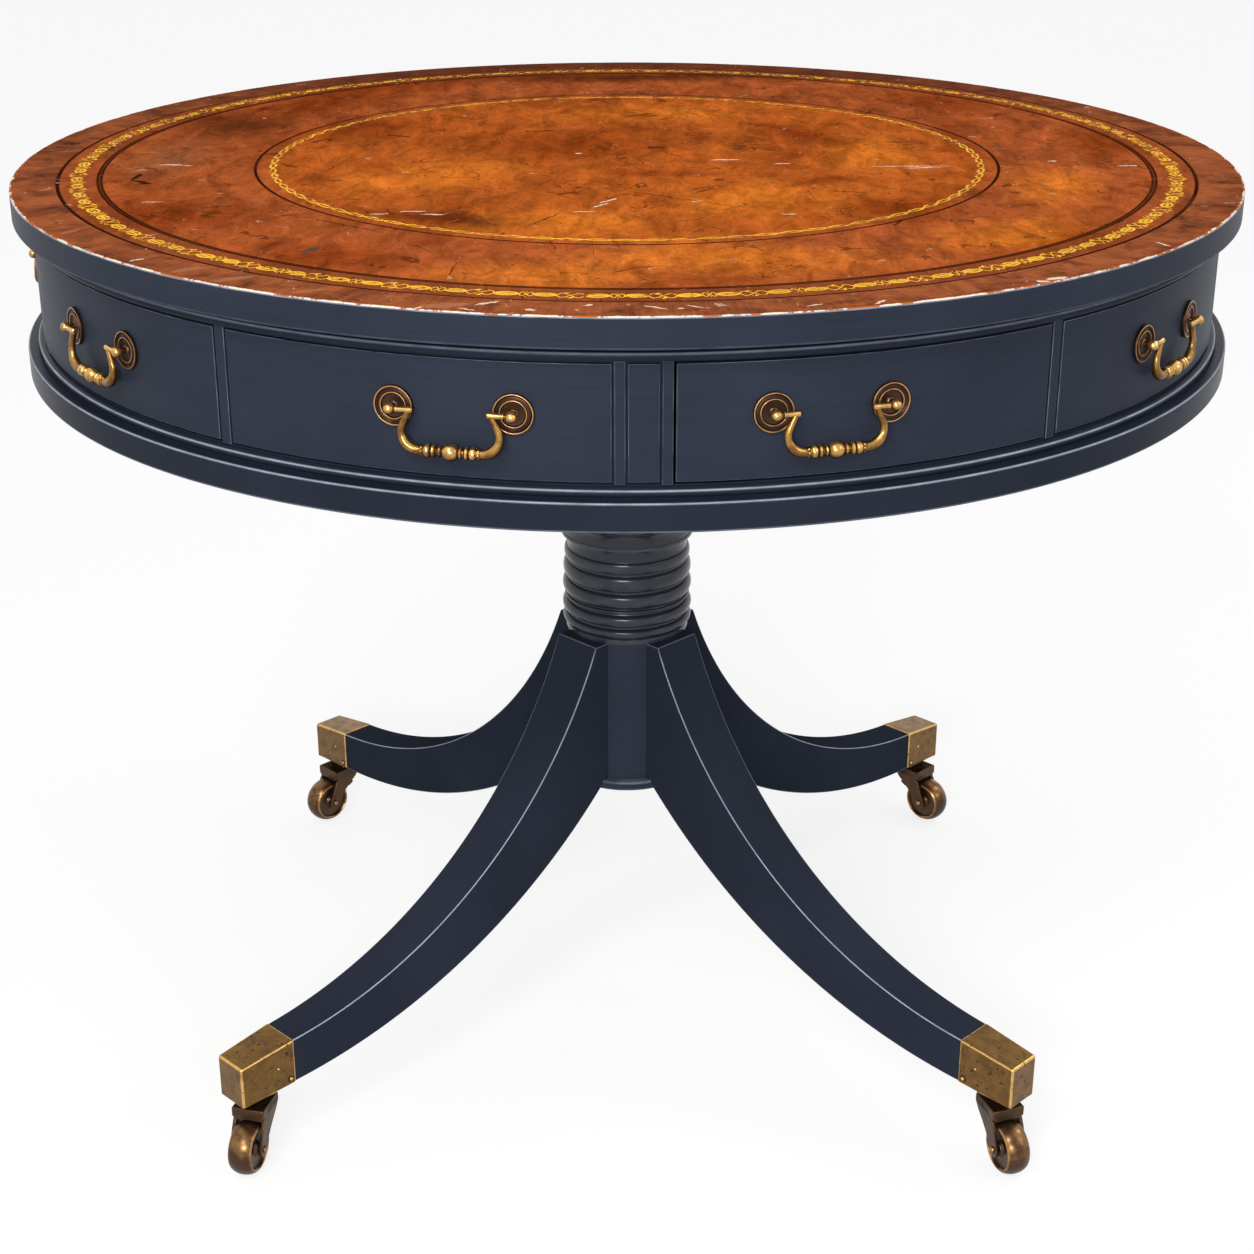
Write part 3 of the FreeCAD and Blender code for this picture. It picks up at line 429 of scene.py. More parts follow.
def brushed_paint(name, radius=None, gloss=0.05, rough=0.42, edge_wear_and_highlight=(0.05, 0.35), streaks=0.36, tone_for_light=1.0):
    """Satin oil paint brushed on beech: dark and even, with faint brush lines, and paler on its edges, partly
    worn thin there and partly a painted highlight.

    The lines run round the table at a radius, or down the legs where there is none."""
    finish = group("finish")
    material, add, shader, place = start_material(name)
    line_length, line_spacing = 70 * MM, 1.6 * MM
    if radius:
        brushing = around(add, place, radius, line_length, line_spacing)
    else:
        brushing = along_leg(add, place, line_length, line_spacing)
    lines = add("TexNoise", brushing, 1.0, 3.0, 0.6)
    clouds = add("TexNoise", place, 1 / (110 * MM), 4.0)
    grain = add("TexNoise", place, 1 / (0.5 * MM), 1.0)
    tone = add("Math MULTIPLY_ADD", lines, streaks, 0.70 - streaks / 2)
    tone = add("Math MULTIPLY_ADD", clouds, 0.60, tone)
    # The last factor makes lit and shaded copies of one paint: lighter for pieces that sit in shade, darker
    # where gloss adds reflection.
    tone = add("Math MULTIPLY", tone, tone_for_light)
    shade = add("VectorMath SCALE", finish.paint, tone)
    # Painted highlight and wear: where the mesh is marked worn and lit, the paint turns towards the pale edge
    # colour.
    worn = add("Attribute", attribute_name="rubbed")
    patchy = add("TexNoise", place, 1 / (16 * MM), 3.0)
    thin = add("MapRange", patchy, 0.3, 0.7, edge_wear_and_highlight[0], edge_wear_and_highlight[1])
    thin = add("Math MULTIPLY", (worn, "Fac"), thin)
    colour = add("Mix RGBA", thin, shade, finish.paint_wear_and_highlight)
    roughness = add("MapRange", lines, 0, 1, rough - 0.06, rough + 0.06)
    height = add("Math MULTIPLY_ADD", grain, 0.25, lines)
    height = add("Math MULTIPLY", height, streaks * 2.8)
    end_material(add, shader, colour, roughness, height, 0.05 * MM, gloss)
    return material


def polar(add, place):
    """Distance from the middle of the table, and the outward direction, in plan."""
    flat = add("VectorMath MULTIPLY", place, (1, 1, 0))
    reach = add("VectorMath LENGTH", flat)
    outward = add("VectorMath NORMALIZE", flat)
    return reach, outward


def ring_mask(add, reach, radius, half_width, soft):
    """1 on a ring at a radius, falling to 0 at its soft edges."""
    apart = add("Math SUBTRACT", reach, radius)
    apart = add("Math ABSOLUTE", apart)
    return add("MapRange", apart, half_width + soft, half_width, interpolation_type="SMOOTHSTEP")


# Chips and scuffs of the crossband: place, half length and half width in mm, turn in degrees, and tone
VENEER_MARKS = (
    (-114, -463, 17, 5.5, 12, "worn"), (-88, -458, 9, 1.4, 35, "pale"), (-100, -472, 7, 1.2, -30, "pale"),
    (-131, -470, 5, 1.4, 60, "pale"), (-60, -474, 4, 1.6, 0, "pale"), (-24, -462, 3, 1.6, 20, "pale"),
    (-292, -372, 13, 5.0, 35, "worn"), (-258, -396, 15, 4.5, 30, "worn"), (-205, -428, 12, 3.0, 25, "worn"),
    (18, -468, 9, 0.9, -32, "pale"), (44, -466, 8, 0.8, -28, "pale"), (34, -470, 2.4, 1.8, 0, "pale"),
    (281, -395, 8, 3.2, 20, "pale"), (271, -403, 5, 2.4, -10, "pale"), (372, -300, 7, 1.2, -60, "pale"),
    (160, -455, 7, 0.9, 55, "pale"), (-330, -345, 6, 1.0, 40, "pale"), (-395, -262, 12, 3.4, 60, "worn"),
    (118, -462, 5, 1.0, 30, "pale"), (-170, -452, 6, 0.9, -40, "dark"), (228, -428, 9, 1.0, 25, "dark"),
)


def crossbanded_veneer():
    """Polished mahogany veneer laid across the band: grain runs outwards, scuffed, and chipped at the rim."""
    finish = group("finish")
    material, add, shader, place = start_material("Crossbanded mahogany veneer")
    reach, outward = polar(add, place)
    spokes = add("VectorMath SCALE", outward, LINING_HIGH.x / (2.2 * MM))
    inward = add("Math MULTIPLY", reach, 1 / (30 * MM))
    rise = add("CombineXYZ", z=inward)
    grain_at = add("VectorMath ADD", spokes, rise)
    grain = add("TexNoise", grain_at, 1.0, 4.0, distortion=0.6)
    clouds = add("TexNoise", place, 1 / (34 * MM), 7.0, 0.66, distortion=0.6)
    tone = add("Math MULTIPLY", grain, 0.35)
    tone = add("Math MULTIPLY_ADD", clouds, 1.0, tone)
    light = add("MapRange", tone, 0.46, 0.80)
    aside = add("SeparateXYZ", outward)
    # Painted shade: the crossband is made darker towards the back of the table.
    far = add("MapRange", (aside, "Y"), 0.25, 0.85, 1.0, 0.35)
    light = add("Math MULTIPLY", light, far)
    colour = add("Mix RGBA", light, finish.veneer_dark, finish.veneer)
    scuffs = scratches(add, place, 44 * MM, 0.010, 0.63)
    scuffs = add("Math MULTIPLY", scuffs, 0.35)
    colour = add("Mix RGBA", scuffs, colour, finish.chipped_wood)
    worn = add("TexNoise", place, 1 / (24 * MM), 8.0, 0.7)
    worn = add("MapRange", worn, 0.60, 0.68, 0, 0.30)
    colour = add("Mix RGBA", worn, colour, linear("#c87c50"))
    ragged = add("TexNoise", place, 1 / (9 * MM), 6.0, 0.75)
    colour = draw_marks(add, place, ragged, colour, VENEER_MARKS, 9)
    colour = chipped_rim(add, place, reach, colour)
    roughness = add("MapRange", clouds, 0, 1, 0.30, 0.55)
    end_material(add, shader, colour, roughness, grain, 0.08 * MM, gloss=0.0)
    return material


def chipped_rim(add, place, reach, colour):
    """Bare wood along the board's upper edge, where it has chipped: a thin broken line with small bites."""
    finish = group("finish")
    parts = add("SeparateXYZ", place)
    inwards = add("Math SUBTRACT", TOP_HIGH.x, reach)
    down = add("Math SUBTRACT", TOP_HIGH.z, (parts, "Z"))
    away = add("Math ADD", inwards, down)
    ragged = add("TexNoise", place, 1 / (19 * MM), 7.0, 0.72)
    bite = add("MapRange", ragged, 0.46, 0.72, 0.5 * MM, 3.4 * MM)
    bare = add("Math LESS_THAN", away, bite)
    ground = add("MapRange", bite, 0.8 * MM, 1.8 * MM)
    chip = add("Mix RGBA", ground, linear("#c9cbd2"), finish.chipped_wood)
    edge = add("Math LESS_THAN", away, 1.6 * MM)
    colour = add("Mix RGBA", edge, colour, linear("#b4632e"))
    return add("Mix RGBA", bare, colour, chip)


def scratches(add, place, length, width, share):
    """Mask of thin scratches: the zero line of a noise, kept only in scattered patches."""
    wander = add("TexNoise", place, 1 / length, 2.0, distortion=1.2)
    apart = add("Math SUBTRACT", wander, 0.5)
    apart = add("Math ABSOLUTE", apart)
    line = add("Math LESS_THAN", apart, width)
    patches = add("TexNoise", place, 3.3 / length, 3.0)
    kept = add("Math GREATER_THAN", patches, share)
    return add("Math MULTIPLY", line, kept)


# Brighter and darker patches of the leather, written as the crossband's marks; the long dark mark across the
# back is painted shade of the far side
LEATHER_CLOUDS = (
    (105, -150, 120, 95, 35, "glow"), (-40, -240, 110, 60, -10, "glow"), (60, -350, 150, 60, 5, "glow"),
    (-150, -70, 110, 70, 30, "glow"), (20, 210, 120, 70, 0, "glow"), (200, 30, 60, 110, 0, "glow"),
    (330, -110, 50, 110, -15, "glow"), (-60, -390, 110, 40, -10, "glow"),
    (-50, 60, 150, 100, 5, "shade"), (-345, 140, 75, 90, 15, "darkest_and_shade"), (-230, 120, 90, 60, 20, "shade"),
    # The long dark mark at (0, 402) across the back is painted shade of the far side.
    (-125, -222, 95, 34, -22, "darkest_and_shade"), (155, 115, 60, 75, 30, "shade"), (0, 402, 330, 45, 0, "darkest_and_shade"),
    (-335, -215, 90, 90, -50, "shade"), (290, 260, 110, 80, -50, "shade"), (205, -185, 60, 60, 0, "shade"),
    (-210, -335, 90, 50, -30, "shade"), (300, -280, 100, 60, 45, "shade"), (-370, 0, 50, 110, 0, "dull"),
    (-230, 330, 150, 70, 35, "shade"), (160, -80, 50, 26, 20, "shade"), (20, -60, 44, 22, -10, "shade"),
    (265, -265, 95, 55, 45, "glow"), (-290, 235, 100, 60, 50, "shade"), (395, 60, 40, 90, 5, "shade"),
)

# Wear marks on the leather
LEATHER_MARKS = (
    (-386, -74, 14, 2.4, 84, "dark"), (-379, -92, 10, 2.8, -42, "dark"), (-374, -99, 5, 2.6, 20, "dark"),
    (-217, -315, 9, 4.0, 62, "grey"), (-221, -328, 5, 1.8, 80, "grey"),
    (-14, -160, 11, 1.3, 55, "pale"), (-20, -176, 9, 1.0, 48, "pale"), (-31, -197, 9, 1.0, 8, "pale"),
    (80, -6, 13, 1.6, 3, "pale"), (-158, -196, 10, 1.4, 6, "pale"), (-142, -206, 9, 1.6, -4, "pale"),
    (-182, -205, 7, 1.0, 12, "pale"), (-368, -27, 10, 1.8, 2, "pale"), (-355, -30, 6, 1.0, -8, "pale"),
    (-356, -165, 9, 0.9, 2, "pale"), (228, -32, 34, 1.0, 2, "pale"), (238, -38, 16, 1.2, 5, "pale"),
    (126, -22, 7, 1.4, 10, "pale"), (52, -162, 5, 1.2, 8, "pale"), (118, -205, 6, 1.2, 4, "pale"),
    (404, -30, 9, 1.2, 5, "pale"), (346, -12, 3.5, 1.6, 0, "pale"), (-40, 20, 2.6, 2.2, 0, "pale"),
    (-203, -240, 40, 0.7, -38, "dark"), (36, -150, 60, 0.7, -33, "dark"), (-60, -222, 26, 0.8, 62, "dark"),
    (120, 142, 30, 1.0, -40, "dark"), (-196, 96, 12, 1.4, -18, "dark"), (-74, 118, 14, 1.6, 20, "dark"),
    (168, -128, 15, 1.2, -16, "dark"), (196, -232, 12, 1.0, 70, "dark"), (-300, -180, 14, 1.0, 15, "dark"),
)


def draw_marks(add, place, ragged, colour, marks, wander=5):
    """Draw a table of marks on a colour, with edges that a noise makes wander by so many mm."""
    finish = group("finish")
    tones = {
        "dark": (linear("#2c150a"), 0.9, 0.8), "grey": (linear("#54463c"), 0.9, 0.8),
        "pale": (finish.chipped_wood, 0.9, 0.8), "worn": (linear("#b57a58"), 0.5, 0.8),
        "shade": (linear("#84360f"), 0.8, 0.0), "darkest_and_shade": (linear("#45200e"), 0.8, 0.0),
        "glow": (linear("#e07c28"), 0.75, 0.0), "dull": (linear("#94603c"), 0.6, 0.0),
    }
    bent = add("VectorMath MULTIPLY_ADD", (ragged, "Color"), (wander * MM, wander * MM, 0), place)
    for x, y, half_length, half_width, turn, tone in marks:
        shade, strength, firm = tones[tone]
        middle = ((x + wander / 2) * MM, (y + wander / 2) * MM, LEATHER_HIGH.z)
        size = (half_length * MM, half_width * MM, 1)
        local = add("Mapping", bent, middle, (0, 0, radians(turn)), size, vector_type="TEXTURE")
        away = add("VectorMath LENGTH", local)
        mark = add("MapRange", away, 1.1, firm, 0, strength, interpolation_type="SMOOTHSTEP")
        colour = add("Mix RGBA", mark, colour, shade)
    return colour


def hide_leather():
    """Old hide, polished by use: orange in the worn inner field, cloudy brown elsewhere and darker towards
    the back as painted shade, with dark lines.
    """
    top, finish = group("top"), group("finish")
    material, add, shader, place = start_material("Gold-tooled hide leather")
    reach, outward = polar(add, place)
    clouds = add("TexNoise", place, 1 / (210 * MM), 5.0, 0.6, distortion=0.5)
    stroked = add("VectorMath MULTIPLY", place, (1 / (22 * MM), 1 / (52 * MM), 1))
    mottle = add("TexNoise", stroked, 1.0, 9.0, 0.74, distortion=0.6)
    stretched = add("VectorMath MULTIPLY", place, (1 / (85 * MM), 1 / (150 * MM), 1))
    smudges = add("TexNoise", stretched, 1.0, 9.0, 0.68, distortion=0.8)
    inner = add("MapRange", reach, top.inner_line + 2 * MM, top.inner_line - 20 * MM)
    base = add("Mix RGBA", inner, finish.leather, finish.leather_light)
    colour = draw_marks(add, place, clouds, base, LEATHER_CLOUDS, 90)
    fine = add("MapRange", mottle, 0.32, 0.68, 0.46, 1.46)
    hair = add("TexNoise", stroked, 9.0, 3.0, 0.7)
    hair = add("MapRange", hair, 0.3, 0.7, 0.86, 1.12)
    fine = add("Math MULTIPLY", fine, hair)
    colour = add("VectorMath SCALE", colour, fine)
    dirt = add("MapRange", smudges, 0.52, 0.72, 0, 0.75)
    colour = add("Mix RGBA", dirt, colour, finish.leather_dark)
    aside = add("SeparateXYZ", outward)
    aside = add("Math ABSOLUTE", (aside, "Y"))
    grime = add("MapRange", aside, 0.1, 0.9, 0.12, 0.5)
    border = add("MapRange", reach, top.border_line - 1 * MM, top.border_line + 2 * MM)
    border = add("Math MULTIPLY", border, grime)
    colour = add("Mix RGBA", border, colour, linear("#6a3c26"))
    black = linear("#241008")
    grooves = None
    for radius, half_width, strength in ((LEATHER_HIGH.x - 1.2 * MM, 1.3 * MM, 0.95),
                                         (top.border_line + 1.3 * MM, 0.8 * MM, 0.9),
                                         (top.border_line - 1.3 * MM, 0.8 * MM, 0.9),
                                         (top.inner_line, 0.9 * MM, 0.95)):
        ring = ring_mask(add, reach, radius, half_width, 0.7 * MM)
        broken = add("MapRange", mottle, 0.3, 0.5, strength * 0.6, strength)
        ring = add("Math MULTIPLY", ring, broken)
        colour = add("Mix RGBA", ring, colour, black)
        grooves = ring if grooves is None else add("Math MAXIMUM", grooves, ring)
    specks = add("TexVoronoi", place, 1 / (17 * MM))
    speck = add("Math LESS_THAN", specks, 0.075)
    speck = add("Math MULTIPLY", speck, 0.7)
    colour = add("Mix RGBA", speck, colour, black)
    for length, width, share, strength, tone in ((46 * MM, 0.006, 0.63, 0.30, finish.chipped_wood),
                                                 (80 * MM, 0.008, 0.54, 0.60, linear("#4a200e"))):
        lines = scratches(add, place, length, width, share)
        lines = add("Math MULTIPLY", lines, strength)
        colour = add("Mix RGBA", lines, colour, tone)
    ragged = add("TexNoise", place, 1 / (9 * MM), 6.0, 0.75)
    colour = draw_marks(add, place, ragged, colour, LEATHER_MARKS, 9)
    pores = add("TexVoronoi", place, 1 / (1.4 * MM), feature="SMOOTH_F1")
    height = add("Math MULTIPLY_ADD", pores, 0.35, mottle)
    height = add("Math SUBTRACT", height, grooves)
    roughness = add("MapRange", mottle, 0.3, 0.7, 0.40, 0.62)
    end_material(add, shader, colour, roughness, height, 0.25 * MM, gloss=0.0)
    return material


def gold_leaf():
    """Gold leaf pressed into the leather: bright, thin, and worn away in places; more of it is gone towards
    the back, which is partly painted shade.
    """
    finish = group("finish")
    material, add, shader, place = start_material("Gold leaf tooling")
    wear_and_far_shade = add("TexNoise", place, 1 / (8 * MM), 5.0, 0.7)
    aside = add("SeparateXYZ", place)
    # Partly painted shade: the gold is worn away more towards the back of the table.
    wear_and_far_shade = add("Math MULTIPLY_ADD", (aside, "Y"), 0.10, wear_and_far_shade)
    gone = add("MapRange", wear_and_far_shade, 0.52, 0.58)
    fading = add("TexNoise", place, 1 / (60 * MM), 3.0)
    faded = add("MapRange", fading, 0.35, 0.65, 0, 0.5)
    colour = add("Mix RGBA", faded, finish.gold, linear("#c8902e"))
    colour = add("Mix RGBA", gone, colour, linear("#8a4a1e"))
    roughness = add("MapRange", wear_and_far_shade, 0, 1, 0.35, 0.6)
    end_material(add, shader, colour, roughness, gloss=0.0, metal=0.3)
    return material


def aged_brass(name, dull, hollow_reach, rough, pitted=False, bright="brass_wear_and_highlight", shine_at=0.6):
    """Cast brass that has darkened: brown in its hollows and pits, browner beneath as painted shade, and
    bright where it is worn and where a highlight is painted.

    The brown is an oxide, so it is less of a metal than the brass that shows through it."""
    finish = group("finish")
    material, add, shader, place = start_material(name)
    clouds = add("TexNoise", place, 1 / (11 * MM), 6.0, 0.65)
    grain = add("TexNoise", place, 1 / (1.1 * MM), 2.0)
    hollow = add("AmbientOcclusion", distance=hollow_reach, samples=8)
    open_air = add("MapRange", (hollow, "AO"), 0.35, 0.90)
    even = add("MapRange", clouds, 0.34, 0.60, 0.5)
    clean_and_lit = add("Math MULTIPLY", even, open_air)
    # Painted shade: the brass turns browner the more a face points down, and brighter on top.
    side = add("SeparateXYZ", (place[0], "Normal"))
    lit_from_above = add("MapRange", (side, "Z"), -0.8, 0.6, 0.25)
    clean_and_lit = add("Math MULTIPLY", clean_and_lit, lit_from_above)
    colour = add("Mix RGBA", clean_and_lit, finish.patina, dull)
    # Painted highlight and wear: where the mesh is marked worn and lit, the brass turns bright.
    worn = add("Attribute", attribute_name="rubbed")
    shine = add("MapRange", clean_and_lit, 0.1, shine_at, 0.25)
    shine = add("Math MULTIPLY", (worn, "Fac"), shine)
    shine = add("MapRange", shine, 0.35, 1.0, 0, 0.9)
    colour = add("Mix RGBA", shine, colour, getattr(finish, bright))
    sunk = add("MapRange", (worn, "Fac"), 0.0, -1.0)
    colour = add("Mix RGBA", sunk, colour, linear("#1d1610"))
    height = grain
    if pitted:
        frayed = add("VectorMath SCALE", (clouds, "Color"), 14 * MM)
        frayed = add("VectorMath ADD", frayed, place)
        cells = add("TexVoronoi", frayed, 1 / (6 * MM))
        pit = add("MapRange", cells, 0.26, 0.14)
        filed = add("TexNoise", along_leg(add, place, 26 * MM, 0.9 * MM), 1.0, 3.0)
        filed = add("MapRange", filed, 0.3, 0.7, 0.80, 1.16)
        colour = add("VectorMath SCALE", colour, filed)
        chance = add("SeparateXYZ", (cells, "Color"))
        chosen = add("Math GREATER_THAN", (chance, "X"), 0.3)
        pit = add("Math MULTIPLY", pit, chosen)
        soft_pit = add("Math MULTIPLY", pit, 0.85)
        colour = add("Mix RGBA", soft_pit, colour, linear("#1d1610"))
        height = add("Math SUBTRACT", grain, pit)
    roughness = add("MapRange", clean_and_lit, 0, 1, rough + 0.2, rough)
    metal = add("MapRange", clean_and_lit, 0, 1, 0.7, 1.0)
    end_material(add, shader, colour, roughness, height, (0.06 if pitted else 0.015) * MM, metal=metal)
    return material


def waxed_wood(name, code, grain_axis):
    """Waxed hardwood, sawn and planed: straight grain with darker pores along it."""
    material, add, shader, place = start_material(name)
    spread = [1 / (2.5 * MM)] * 3
    spread[grain_axis] = 1 / (90 * MM)
    along = add("Mapping", place, scale=spread)
    grain = add("TexNoise", along, 1.0, 5.0, distortion=0.8)
    clouds = add("TexNoise", place, 1 / (160 * MM), 3.0)
    tone = add("Math MULTIPLY_ADD", grain, 0.8, 0.2)
    tone = add("Math MULTIPLY_ADD", clouds, 0.6, tone)
    colour = add("VectorMath SCALE", linear(code), tone)
    roughness = add("MapRange", grain, 0, 1, 0.45, 0.7)
    end_material(add, shader, colour, roughness, grain, 0.12 * MM)
    return material


def turned_steel():
    """Plain mild steel, turned in a lathe: fine rings and a dull shine."""
    material, add, shader, place = start_material("Turned mild steel")
    rings = add("Mapping", place, scale=(20, 20, 1 / (0.4 * MM)))
    marks = add("TexNoise", rings, 1.0, 2.0)
    shade = add("MapRange", marks, 0, 1, 0.8, 1.1)
    colour = add("VectorMath SCALE", linear("#8d8f92"), shade)
    roughness = add("MapRange", marks, 0, 1, 0.3, 0.45)
    end_material(add, shader, colour, roughness, marks, 0.02 * MM, metal=1.0)
    return material


# Top

def strokes(lines):
    """A flat mesh of drawn strokes. Each is a list of (x, y, half width) points in mm."""
    curve = bpy.data.curves.new("strokes", "CURVE")
    curve.dimensions = "3D"
    curve.bevel_depth = 1.0
    curve.bevel_resolution = 1
    curve.use_fill_caps = True
    for line in lines:
        spline = curve.splines.new("POLY")
        spline.points.add(len(line) - 1)
        for point, (x, y, half_width) in zip(spline.points, line):
            point.co = (x * MM, y * MM, 0, 1)
            point.radius = half_width * MM
    drawing = add_object("strokes", curve)
    mesh = bpy.data.meshes.new_from_object(drawing.evaluated_get(bpy.context.evaluated_depsgraph_get()))
    bm = bmesh.new()
    bm.from_mesh(mesh)
    weld(bm)
    bpy.data.objects.remove(drawing)
    bpy.data.curves.remove(curve)
    bpy.data.meshes.remove(mesh)
    return bm


def drawn(points, width):
    """A stroke of one width through a few points."""
    return [(x, y, width) for x, y in points]


def leaf(x, y, length, turn, width):
    """A small pointed leaf."""
    turn = radians(turn)
    return [(x + length * share * cos(turn), y + length * share * sin(turn), width * fullness)
            for share, fullness in ((0, 0.25), (0.25, 0.85), (0.5, 1.0), (0.8, 0.6), (1, 0.08))]


def bud(x, length, half):
    """A closed bud: three leaves that share their tips, with dark slits between them."""
    bows = [drawn([(x, 0)] + [(x + length * share, side * half * sin(pi * share) ** 0.6)
                              for share in (0.14, 0.32, 0.5, 0.68, 0.86)] + [(x + length, 0)], 1.15)
            for side in (1, -1)]
    return bows + [leaf(x + 0.5, 0, length - 1, 0, 1.5)]


def knot(x, length, half):
    """Two thin strokes that cross between buds, each with a curl at its ends."""
    path = ((-0.06, 0.2), (0.06, 0.86), (0.2, 1.0), (0.34, 0.62), (0.5, 0.0), (0.66, -0.62), (0.8, -1.0),
            (0.94, -0.86), (1.06, -0.2))
    return [drawn([(x + length * share, side * half * rise) for share, rise in path], 0.55)
            for side in (1, -1)]


def border_scroll(pitch):
    """One repeat of the border: two buds, a long knot, a short one, and berries."""
    lines = bud(2.5, 16.0, 3.9) + bud(28.0, 15.0, 3.7)
    lines += knot(19.5, 8.0, 4.6) + knot(44.2, pitch - 42.6, 5.4)
    lines += [leaf(47.5, 3.2, 5.2, 60, 1.3), leaf(54.5, -3.2, 5.2, -120, 1.3)]
    berries = ((23.4, 5.9), (23.6, -5.9), (46.0, -6.3), (55.6, 6.3), (51.2, 5.6), (50.6, -5.6))
    return lines + [drawn([(x - 0.3, y), (x + 0.3, y)], 0.8) for x, y in berries]


def inner_sprig(pitch):
    """One repeat of the inner line: two thin strands that part and meet, and two leaves along them."""
    shares = [step / 7 for step in range(8)]
    lines = [[(pitch * share, side * 2.3 * sin(pi * share), 0.75 * (0.8 + 0.2 * abs(cos(pi * share))))
              for share in shares] for side in (1, -1)]
    return lines + [leaf(pitch * 0.25, 2.5, pitch * 0.42, -6, 1.15),
                    leaf(pitch * 0.60, -2.6, pitch * 0.38, 8, 1.05)]


def tooled_band(name, radius, repeats, drawing, material):
    """Repeat a drawn motif round the leather at a radius, pressed flat on its surface."""
    pitch, flatness = FULL_TURN * radius / repeats, 0.16
    motif = strokes(drawing(pitch / MM))
    motif.transform(Matrix.Diagonal((1, 1, flatness, 1)))
    bm = bmesh.new()
    for repeat in range(repeats):
        turn = Matrix.Rotation(FULL_TURN * repeat / repeats, 4, "Z")
        add_part(bm, motif.copy(), turn @ Matrix.Translation((-pitch / 2, -radius, LEATHER_HIGH.z)))
    motif.free()
    make_piece(name, bm, "drum", [material])


class DRUMTABLE_OT_board(bpy.types.Operator):
    """Turn the top board with its rounded, chipped rim"""
    bl_idname = "drum_table.board"
    bl_label = "Top board"

    def execute(self, context):
        top = group("top")
        radius, low, high = TOP_HIGH.x, TOP_LOW.z, TOP_HIGH.z
        rounding = top.rim_round
        recess = LINING_HIGH.x
        outline = [(0, low), (radius - rounding - 6 * MM, low)]
        # The rim's rounding is marked for a painted highlight along its upper arris, with some wear.
        outline += rounded_side(radius, low, high, rounding, 0.15, 1.0)
        outline += [(recess, high), (recess, LINING_LOW.z), (0, LINING_LOW.z)]
        board = turned(outline, 360)
        second_material(board, lambda middle, normal: middle.z > high - 0.75 * rounding and normal.z > 0)
        paint = brushed_paint("Brushed paint, round the rim", radius, edge_wear_and_highlight=(0.2, 0.7))
        make_piece("board", board, "drum", [paint, crossbanded_veneer()], ["top_board"])
        return {"FINISHED"}


class DRUMTABLE_OT_lining(bpy.types.Operator):
    """Lay the crossband and the leather, and press the gold tooling into it"""
    bl_idname = "drum_table.lining"
    bl_label = "Crossband and leather"

    def execute(self, context):
        top = group("top")
        inner, outer = LEATHER_HIGH.x, LINING_HIGH.x
        low, high = LINING_LOW.z, LINING_HIGH.z
        rounding = 0.5 * MM
        band = [(inner, low)] + arc(inner + rounding, high - rounding, rounding, 180, 90, 3)
        band += [(outer, high), (outer, low)]
        veneer = bpy.data.objects["board"].data.materials[1]
        make_piece("veneer_band", turned(band, 360, ring=True), "drum", [veneer],
                   ["crossband"])
        surface = LEATHER_HIGH.z
        hide = [(0, low), (inner, low)] + arc(inner - rounding, surface - rounding, rounding, 0, 90, 3)
        hide += [(0, surface)]
        make_piece("hide", turned(hide, 360), "drum", [hide_leather()], ["leather_panel"])
        gold = gold_leaf()
        tooled_band("border_tooling", top.border_tooling, top.border_repeats, border_scroll, gold)
        tooled_band("inner_tooling", top.inner_tooling, top.inner_repeats, inner_sprig, gold)
        return {"FINISHED"}


# Drum

def half_angle(width):
    """Half the angle that a width takes up on the drum's face, in degrees."""
    return degrees(asin(width / 2 / group("drum").face_radius))


def bay_angles():
    """Half angle of an opening, and the angle from a broad post's middle to an opening's middle."""
    post, stile = half_angle(group("drum").post_width), half_angle(group("drum").stile_width)
    half = (180 / len(BAYS) - post - stile) / 2
    return half, post + half


def drawer_bearings():
    return [bearing_of(*JOINTS["drawer_slide_%d" % bay]["axis"][:2]) for bay in BAYS]


def spun_block(inner, outer, low, high, start, angle, steps):
    """A square section turned about Z from a start by an angle, both in degrees."""
    bm = bmesh.new()
    section = ((inner, low), (outer, low), (outer, high), (inner, high))
    corners = [bm.verts.new((radius, 0, height)) for radius, height in section]
    bmesh.ops.rotate(bm, verts=corners, matrix=Matrix.Rotation(radians(start), 3, "Z"))
    face = bm.faces.new(corners)
    bmesh.ops.spin(bm, geom=[face] + corners + list(face.edges), cent=(0, 0, 0), axis=UP,
                   angle=radians(angle), steps=steps)
    weld(bm)
    return bm


def ring_block(inner, outer, half_angle, low, high, rounding, steps=40):
    """A block that curves with the drum about plus X, with its outer edges rounded."""
    bm = spun_block(inner, outer, low, high, -half_angle, 2 * half_angle, steps)
    if rounding:
        # The rounded outer edges are marked for a painted highlight with some wear.
        round_edges(bm, rounding, chosen=lambda edge: all(
            hypot(*vert.co.xy) > outer - WELD for vert in edge.verts))
    return bm


